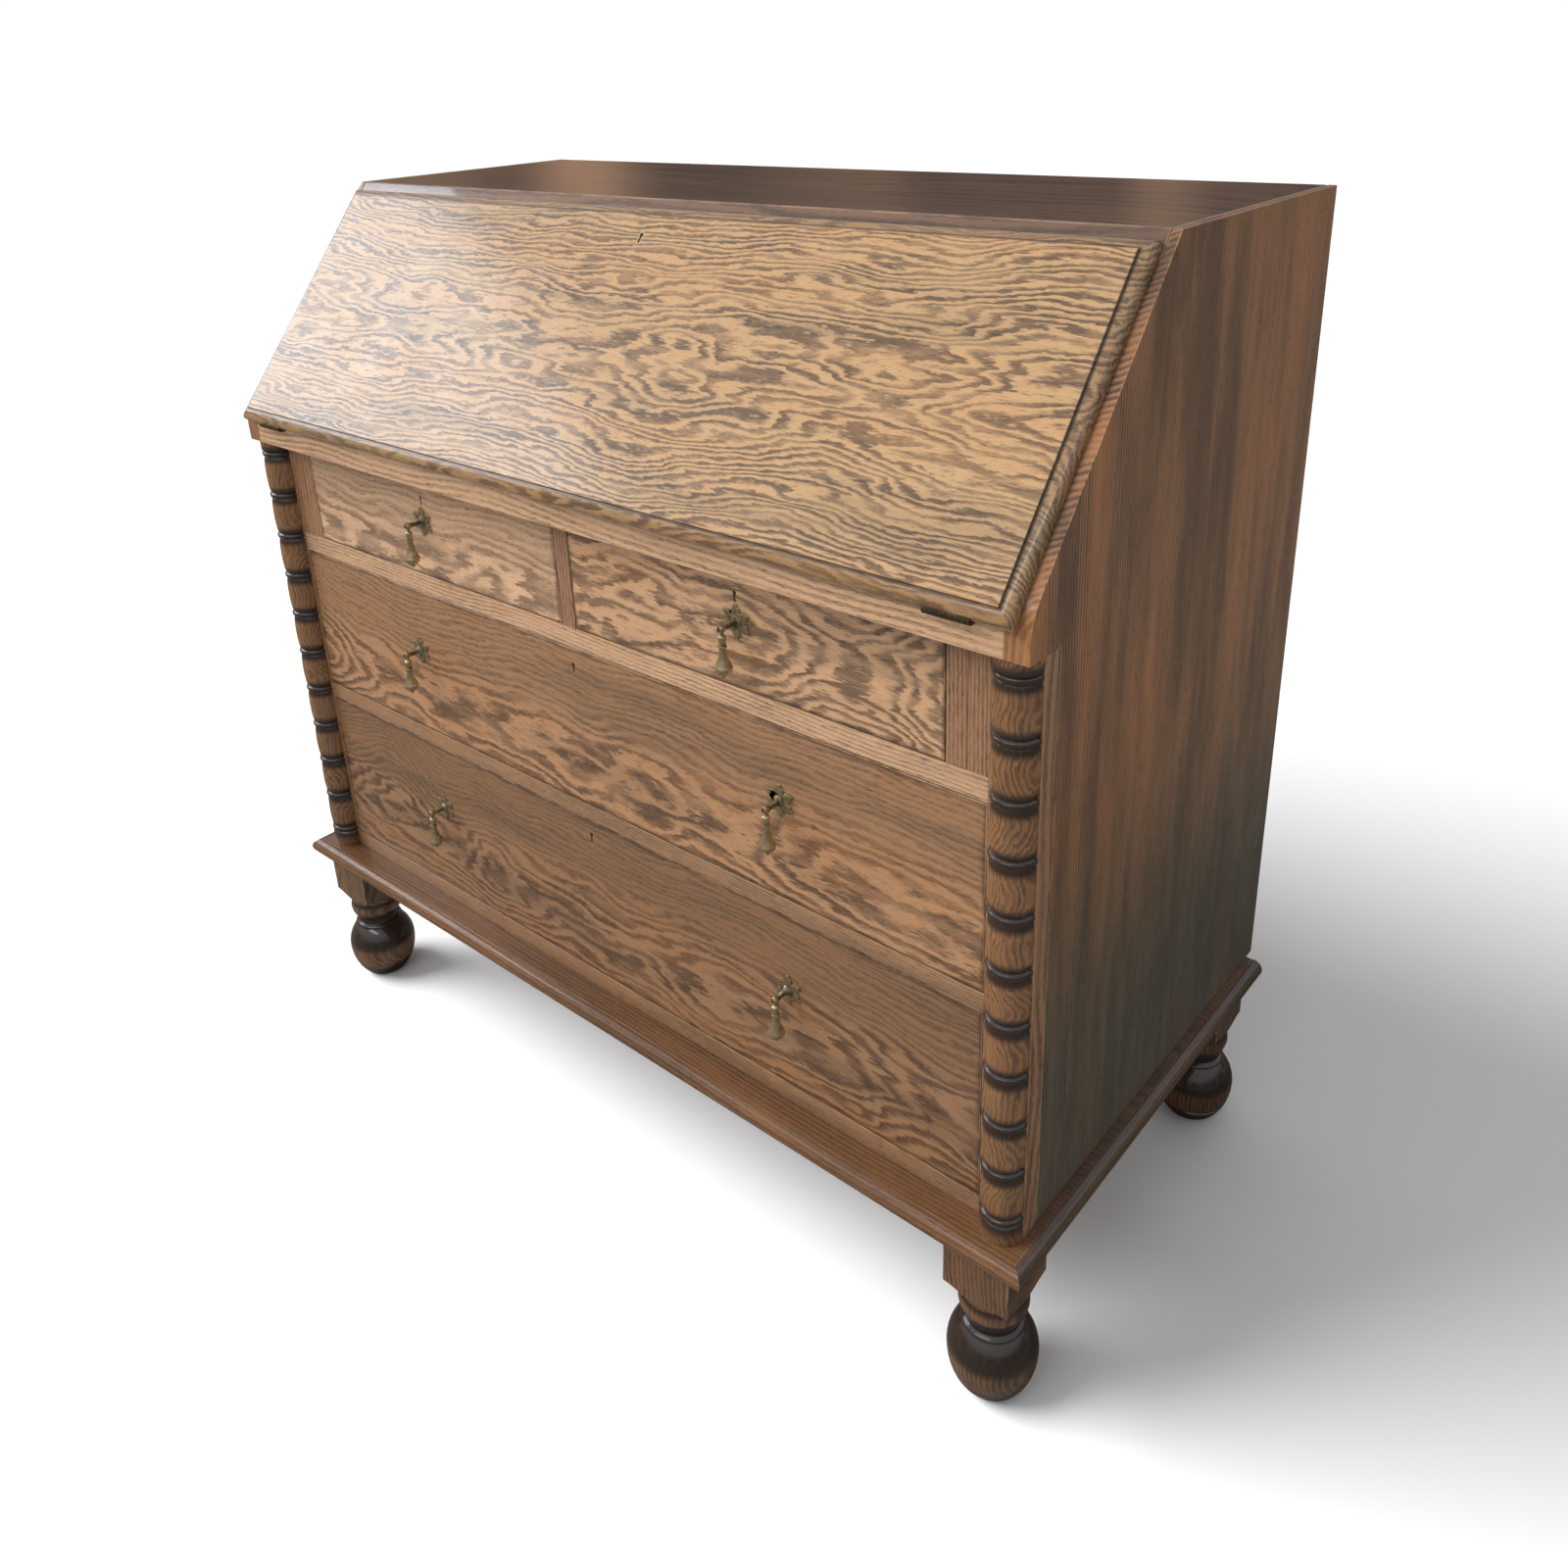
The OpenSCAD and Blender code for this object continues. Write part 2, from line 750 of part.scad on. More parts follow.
// drawer front over x, in the opening z, with its lock pocket, keyhole and handle holes
module drawer_front(x, z, key_down, handle_xs, handle_up) {
    mid_x = (x[0] + x[1]) / 2;
    top = z[1] - front_gap;
    color("sienna")
        difference() {
            board(x, [front_step, front_back], [z[0] + front_gap, top]);
            board([mid_x - lock_w / 2, mid_x + lock_w / 2], [front_back - lock_t, front_back + 1],
                  [top - lock_h, top + 1]);
            translate([mid_x, face_y + front_back, top - key_down])
                rotate([90, 0, 0])
                    linear_extrude(drawer_front_t + 1)
                        keyhole();
            for (hx = handle_xs)
                translate([hx, face_y + front_back + 1, z[0] + handle_up])
                    rotate([90, 0, 0])
                        cylinder(r = stem_r + 0.1, h = drawer_front_t + 2);
        }
}

// sides, bottom and back of a drawer
module drawer_box(x, z) {
    bottom = z[0] + slide_gap;
    top = z[1] - front_gap - drawer_side_down;
    back = back_face - box_back_gap;
    in0 = x[0] + drawer_side_t + glue_gap;
    in1 = x[1] - drawer_side_t - glue_gap;
    floor_z = bottom + drawer_bottom_up;
    color("burlywood") {
        board([x[0], x[0] + drawer_side_t], [front_back, back], [bottom, top]);
        board([x[1] - drawer_side_t, x[1]], [front_back, back], [bottom, top]);
        board([in0, in1], [front_back, back], [floor_z, floor_z + drawer_bottom_t]);
        board([in0, in1], [back - drawer_back_t, back], [floor_z + drawer_bottom_t + glue_gap, top - 6]);
    }
}

module drawer_lock(x, z, key_down) {
    mid_x = (x[0] + x[1]) / 2;
    top = z[1] - front_gap;
    color("#b89b52")
        difference() {
            board([mid_x - lock_w / 2 + lock_gap, mid_x + lock_w / 2 - lock_gap],
                  [front_back - lock_t + lock_gap, front_back], [top - lock_h + lock_gap, top]);
            translate([mid_x, face_y + front_back + 1, top - key_down])
                rotate([90, 0, 0])
                    linear_extrude(lock_t + 2)
                        keyhole();
        }
}

short_xs = [short_x0, short_x1];
long_xs = [front_gap / 2 - bay_x, bay_x - front_gap / 2];
short_zs = [short_z, frieze_z];
upper_zs = [upper_z, upper_rail_z];
lower_zs = [lower_z, middle_rail_z];

module short_front(side)
    on_side(side) drawer_front(short_xs, short_zs, short_key_down, [short_handle_x], short_handle_up);

module short_left_front() short_front(-1);
module short_right_front() short_front(1);
module upper_drawer_front()
    drawer_front(long_xs, upper_zs, long_key_down, [-long_handle_x, long_handle_x], upper_handle_up);
module lower_drawer_front()
    drawer_front(long_xs, lower_zs, long_key_down, [-long_handle_x, long_handle_x], lower_handle_up);

module short_left_box() on_side(-1) drawer_box([short_x0, short_box_x1], short_zs);
module short_right_box() drawer_box([short_x0, short_box_x1], short_zs);
module upper_drawer_box() drawer_box(long_xs, upper_zs);
module lower_drawer_box() drawer_box(long_xs, lower_zs);

module short_left_lock() on_side(-1) drawer_lock(short_xs, short_zs, short_key_down);
module short_right_lock() drawer_lock(short_xs, short_zs, short_key_down);
module upper_drawer_lock() drawer_lock(long_xs, upper_zs, long_key_down);
module lower_drawer_lock() drawer_lock(long_xs, lower_zs, long_key_down);

// ---------------------------------------------------------------- drop handles

// local axes of a handle: its centre on the drawer's face, y into the drawer
module at_handle(x, z) {
    translate([x, face_y + front_step, z])
        children();
}

// six-lobed rose with a small point on each lobe
module rose_outline() {
    circle(r = 9);
    for (a = [30 : 60 : 330])
        rotate(a) {
            translate([9.6, 0])
                circle(r = 4.6);
            translate([14.4, 0])
                circle(r = 1.9);
        }
}

// one handle's fixed part: rose, post with a forked knob, pin, and the stem with its nut
module handle_plate(x, z) {
    color("#6f6340")
        at_handle(x, z) {
            rotate([90, 0, 0])
                linear_extrude(rose_t)
                    rose_outline();
            rotate([90, 0, 0])
                cylinder(r1 = 6.5, r2 = post_r, h = 6);
            difference() {
                union() {
                    rotate([90, 0, 0])
                        cylinder(r = post_r, h = post_reach);
                    translate([0, -post_reach, 0])
                        sphere(r = knob_r);
                }
                // fork for the eye of the drop
                translate([-eye_w / 2 - 0.3, -post_reach - knob_r - 1, -knob_r - 1])
                    cube([eye_w + 0.6, 2 * knob_r + 0.5, 2 * knob_r]);
            }
            translate([-knob_r + 0.8, -post_reach, 0])
                rotate([0, 90, 0])
                    cylinder(r = eye_pin_r, h = 2 * knob_r - 1.6);
            rotate([-90, 0, 0])
                cylinder(r = stem_r, h = drawer_front_t + 6);
            translate([0, drawer_front_t + 0.1, 0])
                rotate([-90, 0, 0])
                    cylinder(r = 5, h = 3.4, $fn = 6);
        }
}

module short_left_handle_plate() handle_plate(-short_handle_x, short_z + short_handle_up);
module short_right_handle_plate() handle_plate(short_handle_x, short_z + short_handle_up);

module upper_drawer_handle_plates() {
    for (x = [-long_handle_x, long_handle_x])
        handle_plate(x, upper_z + upper_handle_up);
}

module lower_drawer_handle_plates() {
    for (x = [-long_handle_x, long_handle_x])
        handle_plate(x, lower_z + lower_handle_up);
}

// profile of a drop below its pin: neck, collar, waist, pear and finial
drop_neck_z = -5.2;
drop_collar_z = -0.35 * drop_len;
drop_belly_z = -0.77 * drop_len;
drop_end_z = -0.92 * drop_len;

drop_points = concat(
    [[0, drop_neck_z], [1.6, drop_neck_z], [3.5, drop_neck_z - 1.6], [3.6, drop_neck_z - 4],
     [2.9, drop_collar_z + 1], [4, drop_collar_z + 0.6], [4, drop_collar_z - 0.6], [2.9, drop_collar_z - 1]],
    [for (k = [0 : 8])
        [3.1 + (drop_r - 3.1) * (1 - cos(90 * k / 8)) * 0.55 + (drop_r - 3.1) * 0.45 * pow(k / 8, 2),
         drop_collar_z - 2.5 + (drop_belly_z - drop_collar_z + 2.5) * k / 8]],
    [for (k = [1 : 6])
        [2.2 + (drop_r - 2.2) * cos(90 * k / 6), drop_belly_z + (drop_end_z - drop_belly_z) * sin(90 * k / 6)]],
    [[2, -drop_len + 2], [0.9, -drop_len], [0, -drop_len]]
);

module drop(x, z) {
    color("#8a7a4c")
        at_handle(x, z)
            translate([0, -post_reach, 0])
                difference() {
                    union() {
                        translate([-eye_w / 2, 0, 0])
                            rotate([0, 90, 0])
                                cylinder(r = eye_r, h = eye_w);
                        translate([-eye_w / 2, -eye_w / 2, drop_neck_z - 0.4])
                            cube([eye_w, eye_w, -drop_neck_z - 0.8]);
                        rotate_extrude()
                            polygon(drop_points);
                    }
                    translate([-eye_w, 0, 0])
                        rotate([0, 90, 0])
                            cylinder(r = eye_pin_r + pin_gap, h = 2 * eye_w);
                }
}

module drop_short_left() drop(-short_handle_x, short_z + short_handle_up);
module drop_short_right() drop(short_handle_x, short_z + short_handle_up);
module drop_upper_left() drop(-long_handle_x, upper_z + upper_handle_up);
module drop_upper_right() drop(long_handle_x, upper_z + upper_handle_up);
module drop_lower_left() drop(-long_handle_x, lower_z + lower_handle_up);
module drop_lower_right() drop(long_handle_x, lower_z + lower_handle_up);

side_panel_left();
side_panel_right();
top_board();
back_panel();
writing_bed();
frieze_rail();
stile_left();
stile_right();
column_left();
column_right();
loper_stile_left();
loper_stile_right();
centre_divider();
loper_guides();
rail_upper();
rail_middle();
rail_bottom();
dust_board_upper();
dust_board_middle();
drawer_runners();
base_board();
nosing_front();
nosing_left();
nosing_right();
foot_blocks();
foot_front_left();
foot_front_right();
foot_back_left();
foot_back_right();
pigeonhole_shelf();
pigeonhole_dividers();
hinge_fixed_leaves();
hinge_moving_leaves();
fall_panel();
fall_lock();
fall_escutcheon();
loper_left();
loper_right();
short_left_front();
short_left_box();
short_left_lock();
short_left_handle_plate();
short_right_front();
short_right_box();
short_right_lock();
short_right_handle_plate();
upper_drawer_front();
upper_drawer_box();
upper_drawer_lock();
upper_drawer_handle_plates();
lower_drawer_front();
lower_drawer_box();
lower_drawer_lock();
lower_drawer_handle_plates();
drop_short_left();
drop_short_right();
drop_upper_left();
drop_upper_right();
drop_lower_left();
drop_lower_right();
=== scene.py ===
"""An oak slant-front secretary desk with split turnings, four drawers and bun feet.

Each sub-assembly is a class that eases, turns and dresses its own pieces over the frame. Sizes are in
metres, +Z is up and the front faces -Y.
"""

from __future__ import annotations

import json
import logging
import math
from dataclasses import dataclass
from enum import Enum
from typing import Callable

import bmesh
import bpy
from mathutils import Matrix, Vector


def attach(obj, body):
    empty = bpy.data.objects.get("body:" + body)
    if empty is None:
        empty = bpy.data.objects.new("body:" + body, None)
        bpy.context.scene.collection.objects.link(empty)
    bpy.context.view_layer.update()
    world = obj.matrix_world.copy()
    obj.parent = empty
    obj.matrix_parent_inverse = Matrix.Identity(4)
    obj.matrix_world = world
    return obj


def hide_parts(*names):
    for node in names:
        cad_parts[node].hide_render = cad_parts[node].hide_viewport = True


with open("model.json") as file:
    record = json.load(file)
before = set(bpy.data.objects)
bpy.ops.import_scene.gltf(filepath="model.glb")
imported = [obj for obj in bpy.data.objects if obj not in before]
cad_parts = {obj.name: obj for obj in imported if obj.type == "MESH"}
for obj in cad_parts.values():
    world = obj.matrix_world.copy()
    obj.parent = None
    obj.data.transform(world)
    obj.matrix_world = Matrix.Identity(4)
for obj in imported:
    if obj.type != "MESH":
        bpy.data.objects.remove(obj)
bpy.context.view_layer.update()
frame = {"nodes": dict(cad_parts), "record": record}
NODE_BODY: dict[str, str] = {
    node: body for body, nodes in frame["record"]["behaviour"]["bodies"].items() for node in nodes
}
LOG = logging.getLogger("secretary_desk")

Colour = tuple[float, float, float]
Point = tuple[float, float, float]
Profile = list[tuple[float, float]]
Socket = bpy.types.NodeSocket

SHELF: dict[str, bpy.types.Material] = {}
SIDES = ("left", "right")
EASED = "eased_edge"
SWELL = "swell"
FLOAT = "NodeSocketFloat"
VECTOR = "NodeSocketVector"
COLOUR = "NodeSocketColor"

MM = 0.001
WELD = 0.01 * MM
FLAT_ANGLE = math.radians(0.4)
SHARP_ANGLE = math.radians(35)
FALL_RISE = 236 * MM
FALL_RUN = 195 * MM
SLOPE_ANGLE = math.atan2(FALL_RISE, FALL_RUN)


class GrainRun(Enum):
    """Which way a board's grain runs, as the turn that brings the board to lie along X, face up."""

    ALONG_FRONT = (-90.0, 0.0, 0.0)
    ALONG_TOP = (0.0, 0.0, 0.0)
    ALONG_DEPTH = (0.0, 0.0, -90.0)
    UP_FRONT = (-90.0, 0.0, -90.0)
    UP_SIDE = (0.0, 90.0, 0.0)
    DEEP_SIDE = (90.0, 0.0, -90.0)
    UP_THE_FALL = (-math.degrees(SLOPE_ANGLE), 0.0, 0.0)

    def radians(self) -> Point:
        """Gives the turn in radians."""
        return tuple(math.radians(angle) for angle in self.value)


# ---------------------------------------------------------------- helpers for node trees


class Graph:
    """A node tree that is being filled in, with one short call for each kind of node."""

    def __init__(self, tree: bpy.types.NodeTree) -> None:
        """Keeps the tree of a material, a world or a group."""
        self.tree = tree

    def node(self, kind: str, **settings: object) -> bpy.types.Node:
        """Adds a node.

        Args:
            kind: the node's type name.
            settings: properties to set on it.

        Returns:
            The new node.
        """
        made = self.tree.nodes.new(kind)
        for name, value in settings.items():
            setattr(made, name, value)
        return made

    def feed(self, target: Socket, source: object) -> None:
        """Links or sets one input.

        Args:
            target: the input socket.
            source: an output socket to link, or a value to set.
        """
        if isinstance(source, bpy.types.NodeSocket):
            self.tree.links.new(source, target)
        elif isinstance(source, tuple) and target.type == "RGBA":
            target.default_value = (*source, 1.0)
        else:
            target.default_value = source

    def math(self, operation: str, first: object, second: object = 0.0, clamp: bool = False) -> Socket:
        """Adds a Math node.

        Args:
            operation: its operation.
            first: its first input.
            second: its second input.
            clamp: whether the answer is kept from 0 to 1.

        Returns:
            The answer's socket.
        """
        made = self.node("ShaderNodeMath", operation=operation, use_clamp=clamp)
        self.feed(made.inputs[0], first)
        self.feed(made.inputs[1], second)
        return made.outputs[0]

    def mix(self, amount: object, first: object, second: object) -> Socket:
        """Mixes two colours.

        Args:
            amount: how much of the second.
            first: the colour at 0.
            second: the colour at 1.

        Returns:
            The mixed colour's socket.
        """
        made = self.node("ShaderNodeMix", data_type="RGBA")
        factor, colours = made.inputs[0], made.inputs[6:8]
        self.feed(factor, amount)
        for slot, source in zip(colours, (first, second)):
            self.feed(slot, source)
        return made.outputs[2]

    def ramp(
        self, value: object, low: object, high: object, start: object = 0.0, end: object = 1.0
    ) -> Socket:
        """Maps a value smoothly from one range to another.

        Args:
            value: the value's socket.
            low: the value that gives start.
            high: the value that gives end.
            start: the answer at low.
            end: the answer at high.

        Returns:
            The answer's socket.
        """
        made = self.node("ShaderNodeMapRange", interpolation_type="SMOOTHSTEP")
        for slot, source in zip(made.inputs[:5], (value, low, high, start, end)):
            self.feed(slot, source)
        return made.outputs[0]

    def noise(
        self, vector: object, detail: float = 2.0, roughness: float = 0.5, scale: object = 1.0
    ) -> Socket:
        """Adds a noise.

        Args:
            vector: where it is read.
            detail: its octaves.
            roughness: how strong the finer octaves are.
            scale: its scale.

        Returns:
            Its value, from 0 to 1.
        """
        made = self.node("ShaderNodeTexNoise")
        settings = {"Vector": vector, "Scale": scale, "Detail": detail, "Roughness": roughness}
        for label, source in settings.items():
            self.feed(made.inputs[label], source)
        return made.outputs[0]

    def parts(self, vector: object) -> tuple[Socket, Socket, Socket]:
        """Splits a vector into its three numbers.

        Args:
            vector: the vector's socket.

        Returns:
            The sockets of its X, Y and Z.
        """
        made = self.node("ShaderNodeSeparateXYZ")
        self.feed(made.inputs[0], vector)
        return tuple(made.outputs)

    def join(self, first: object, second: object, third: object) -> Socket:
        """Joins three numbers into a vector.

        Args:
            first: its X.
            second: its Y.
            third: its Z.

        Returns:
            The vector's socket.
        """
        made = self.node("ShaderNodeCombineXYZ")
        for slot, source in zip(made.inputs, (first, second, third)):
            self.feed(slot, source)
        return made.outputs[0]


def new_group(
    name: str, inputs: dict[str, str], outputs: dict[str, str]
) -> tuple[Graph, dict[str, Socket], bpy.types.Node]:
    """Starts a shader node group.

    Args:
        name: the group's name.
        inputs: each input's name and socket type.
        outputs: each output's name and socket type.

    Returns:
        The group's graph, its inputs by name, and its output node.
    """
    tree = bpy.data.node_groups.new(name, "ShaderNodeTree")
    for label, kind in inputs.items():
        tree.interface.new_socket(label, in_out="INPUT", socket_type=kind)
    for label, kind in outputs.items():
        tree.interface.new_socket(label, in_out="OUTPUT", socket_type=kind)
    graph = Graph(tree)
    start = graph.node("NodeGroupInput")
    end = graph.node("NodeGroupOutput")
    return graph, {socket.name: socket for socket in start.outputs if socket.name}, end


def use_group(graph: Graph, name: str, **values: object) -> bpy.types.Node:
    """Places a node group in a material.

    Args:
        graph: the material's graph.
        name: the group's name.
        values: a value or socket for each input, with an underscore for each space.

    Returns:
        The group node.
    """
    made = graph.node("ShaderNodeGroup", node_tree=bpy.data.node_groups[name])
    for label, source in values.items():
        graph.feed(made.inputs[label.replace("_", " ")], source)
    return made


# ---------------------------------------------------------------- effects that finishes share


def build_oak_figure() -> None:
    """Makes the group that draws rings, their ragged edges, pores and slow colour changes in a board."""
    sizes = ("Ring Pitch", "Pith Across", "Pith Deep", "Swing", "Swing Length")
    sizes += ("Warp", "Warp Length", "Warp Width", "Jag", "Seed")
    graph, given, end = new_group(
        "oak_figure",
        {"Vector": VECTOR, **{label: FLOAT for label in sizes}},
        {"Band": FLOAT, "Tone": FLOAT, "Pores": FLOAT},
    )
    along, across, deep = graph.parts(given["Vector"])
    seed = given["Seed"]

    def stretched(length: object, width: object, shift: float) -> Socket:
        """Gives the board's coordinates stretched along the grain.

        Args:
            length: what counts as one along the grain.
            width: what counts as one across it.
            shift: how far aside the pattern is read, so that no two patterns match.

        Returns:
            The vector's socket.
        """
        return graph.join(
            graph.math("ADD", graph.math("DIVIDE", along, length), graph.math("MULTIPLY", seed, 3.7)),
            graph.math("ADD", graph.math("DIVIDE", across, width), shift),
            graph.math("ADD", graph.math("DIVIDE", deep, width), seed),
        )

    def centred(value: Socket, amount: object) -> Socket:
        """Gives a noise about zero, times an amount."""
        return graph.math("MULTIPLY", graph.math("SUBTRACT", value, 0.5), amount)

    def off_pith(place: Socket, label: str, seed_step: float, shift: float) -> Socket:
        """Gives the distance from the tree's swaying middle, one way.

        Args:
            place: the board's coordinate that way.
            label: the input that says where the middle is.
            seed_step: how the seed moves the sway.
            shift: how far aside the sway is read.

        Returns:
            The distance's socket.
        """
        run = graph.math("DIVIDE", along, given["Swing Length"])
        sway = graph.noise(graph.join(run, graph.math("MULTIPLY", seed, seed_step), shift), detail=1.5)
        from_pith = graph.math("SUBTRACT", place, given[label])
        return graph.math("SUBTRACT", from_pith, centred(sway, given["Swing"]))

    off_across = off_pith(across, "Pith Across", seed_step=2.1, shift=7.0)
    off_deep = off_pith(deep, "Pith Deep", seed_step=1.3, shift=0.0)
    squares = graph.math("ADD", graph.math("POWER", off_across, 2.0), graph.math("POWER", off_deep, 2.0))
    rings = graph.math("DIVIDE", graph.math("SQRT", squares), given["Ring Pitch"])

    wave = stretched(given["Warp Length"], given["Warp Width"], shift=3.0)
    warp = graph.noise(wave, detail=2.5, roughness=0.55)
    ragged = graph.noise(stretched(length=0.011, width=0.0021, shift=11.0), roughness=0.6)
    count = graph.math("ADD", rings, centred(warp, given["Warp"]))
    count = graph.math("ADD", count, centred(ragged, given["Jag"]))
    phase = graph.math("FRACT", count)
    rise = graph.ramp(phase, low=0.05, high=0.25)
    fall = graph.ramp(phase, low=0.44, high=0.86, start=1.0, end=0.0)
    band = graph.math("MULTIPLY", rise, fall)

    patch = graph.noise(stretched(length=0.11, width=0.014, shift=23.0))
    depth = graph.ramp(patch, low=0.3, high=0.6, start=0.5, end=1.0)
    band = graph.math("MULTIPLY", band, depth, clamp=True)
    specks = graph.noise(stretched(length=0.0085, width=0.0006, shift=31.0), detail=1.0)
    crowd = graph.math("ADD", graph.math("MULTIPLY", band, 0.7), 0.3)
    pores = graph.math("MULTIPLY", graph.ramp(specks, low=0.56, high=0.68), crowd)
    tone = graph.noise(stretched(length=0.42, width=0.05, shift=41.0), detail=3.0, roughness=0.6)
    graph.feed(end.inputs["Pores"], pores)
    graph.feed(end.inputs["Band"], band)
    graph.feed(end.inputs["Tone"], tone)


def build_stained_oak() -> None:
    """Makes the group that colours a stained board: rings, plain parts, warm glow, dark streaks, pores."""
    shades = ("Light", "Dark", "Middling", "Warm", "Deep")
    masks = ("Band", "Tone", "Pores", "Plain", "Contrast", "Warmth", "Streak", "Pore Depth")
    graph, given, end = new_group(
        "stained_oak",
        {**{label: FLOAT for label in masks}, **{label: COLOUR for label in shades}},
        {"Color": COLOUR},
    )
    rings = graph.math("MULTIPLY", given["Band"], given["Contrast"])
    glow = graph.ramp(given["Tone"], low=0.42, high=0.68, end=given["Warmth"])
    streak = graph.ramp(given["Tone"], low=0.5, high=0.3, end=given["Streak"])
    pores = graph.math("MULTIPLY", given["Pores"], given["Pore Depth"])
    colour = graph.mix(rings, given["Light"], given["Dark"])
    colour = graph.mix(given["Plain"], colour, given["Middling"])
    colour = graph.mix(glow, colour, given["Warm"])
    colour = graph.mix(streak, colour, given["Dark"])
    graph.feed(end.inputs["Color"], graph.mix(pores, colour, given["Deep"]))


def build_bare_wood() -> None:
    """Makes the group that colours unfinished wood: faint rings under the stains of age."""
    graph, given, end = new_group(
        "bare_wood",
        {"Vector": VECTOR, "Band": FLOAT, "Light": COLOUR, "Dark": COLOUR},
        {"Color": COLOUR},
    )
    colour = graph.mix(graph.math("MULTIPLY", given["Band"], 0.6), given["Light"], given["Dark"])
    cloud = graph.noise(given["Vector"], detail=3.0, roughness=0.6, scale=7.0)
    stain = graph.ramp(cloud, low=0.45, high=0.75, end=0.45)
    graph.feed(end.inputs["Color"], graph.mix(stain, colour, given["Dark"]))


def build_edge_wear() -> None:
    """Makes the group that gives where an eased edge is rubbed pale."""
    graph, given, end = new_group("edge_wear", {"Vector": VECTOR, "Eased": FLOAT}, {"Wear": FLOAT})
    cloud = graph.noise(given["Vector"], detail=3.0, roughness=0.6, scale=38.0)
    rub = graph.ramp(cloud, low=0.36, high=0.62)
    graph.feed(end.inputs["Wear"], graph.math("MULTIPLY", given["Eased"], rub, clamp=True))


def build_edge_dust_and_shade() -> None:
    """Makes the group that darkens a drawer front along its outline: partly dust and old polish, partly
    painted shade where the front meets the frame round it.
    """
    outline = ("Middle", "Half Length", "Low", "High")
    graph, given, end = new_group(
        "edge_dust_and_shade", {"Vector": VECTOR, **{label: FLOAT for label in outline}}, {"Darkening": FLOAT}
    )
    along, across, _ = graph.parts(given["Vector"])
    reach = graph.math("ABSOLUTE", graph.math("SUBTRACT", along, given["Middle"]))
    from_end = graph.math("SUBTRACT", given["Half Length"], reach)
    from_top = graph.math("SUBTRACT", given["High"], across)
    from_foot = graph.math("SUBTRACT", across, given["Low"])
    inset = graph.math("MINIMUM", from_end, graph.math("MINIMUM", from_top, from_foot))
    cloud = graph.noise(given["Vector"], detail=3.0, roughness=0.6, scale=30.0)
    spread = graph.ramp(cloud, low=0.3, high=0.7, start=2.5 * MM, end=8.0 * MM)
    # Painted shade with dust along the front's outline, fading out a few millimetres in.
    darkening = graph.ramp(graph.math("DIVIDE", inset, spread), low=1.0, high=0.0, end=0.72)
    graph.feed(end.inputs["Darkening"], darkening)


def build_stain_and_shade_group() -> None:
    """Makes the group that darkens the hollows of a turning: partly stain gathered there, partly painted
    shade.
    """
    graph, given, end = new_group("hollows_stain_and_shade", {"Swell": FLOAT}, {"Stain And Shade": FLOAT})
    # Darker where the turning is less full: partly stain, partly painted shade.
    graph.feed(end.inputs["Stain And Shade"], graph.ramp(given["Swell"], low=0.86, high=0.3, end=0.93))


def build_hand_polish() -> None:
    """Makes the group that gives the uneven gloss of hand-rubbed polish, dull in the open pores."""
    graph, given, end = new_group(
        "hand_polish", {"Vector": VECTOR, "Pores": FLOAT, "Gloss": FLOAT}, {"Roughness": FLOAT}
    )
    smear = graph.noise(given["Vector"], detail=3.0, roughness=0.6, scale=14.0)
    clean = graph.math("SUBTRACT", given["Gloss"], 0.05)
    hazed = graph.math("ADD", given["Gloss"], 0.07)
    dull = graph.ramp(smear, low=0.3, high=0.7, start=clean, end=hazed)
    open_grain = graph.math("MULTIPLY", given["Pores"], 0.25)
    graph.feed(end.inputs["Roughness"], graph.math("ADD", dull, open_grain))


def build_tarnish() -> None:
    """Makes the group that gives the tarnish on brass: cloudy all over, and thick in its hollows."""
    graph, given, end = new_group(
        "tarnish",
        {"Vector": VECTOR, "Scale": FLOAT, "Cover": FLOAT, "Edge": FLOAT},
        {"Darkening": FLOAT, "Bloom": FLOAT},
    )
    bloom = graph.noise(given["Vector"], detail=4.0, roughness=0.62, scale=given["Scale"])
    hollow = graph.ramp(given["Edge"], low=0.56, high=0.44, end=0.75)
    cloud = graph.ramp(bloom, low=0.66, high=0.38, end=given["Cover"])
    graph.feed(end.inputs["Darkening"], graph.math("ADD", cloud, hollow, clamp=True))
    graph.feed(end.inputs["Bloom"], bloom)


# ---------------------------------------------------------------- finishes


def start_material(name: str) -> tuple[bpy.types.Material, Graph, bpy.types.Node, Socket]:
    """Starts a material with its shader and its object coordinates, and puts it on the shelf.

    Args:
        name: the finish's name.

    Returns:
        The material, its graph, its shader and the coordinates.
    """
    made = bpy.data.materials.new(f"{name}_finish")
    SHELF[name] = made
    made.use_nodes = True
    graph = Graph(made.node_tree)
    shader = made.node_tree.nodes["Principled BSDF"]
    place = graph.node("ShaderNodeTexCoord").outputs["Object"]
    return made, graph, shader, place


def lay_figure(
    graph: Graph, place: Socket, run: GrainRun, **figure: float
) -> tuple[Socket, bpy.types.Node]:
    """Turns the coordinates along a board's grain and draws the board's figure on them.

    Args:
        graph: the material's graph.
        place: the object coordinates.
        run: which way the grain runs.
        figure: the values of the oak figure group.

    Returns:
        The board's coordinates and the figure's group node.
    """
    board = graph.node("ShaderNodeMapping")
    graph.feed(board.inputs["Vector"], place)
    board.inputs["Rotation"].default_value = run.radians()
    return board.outputs[0], use_group(graph, "oak_figure", Vector=board.outputs[0], **figure)


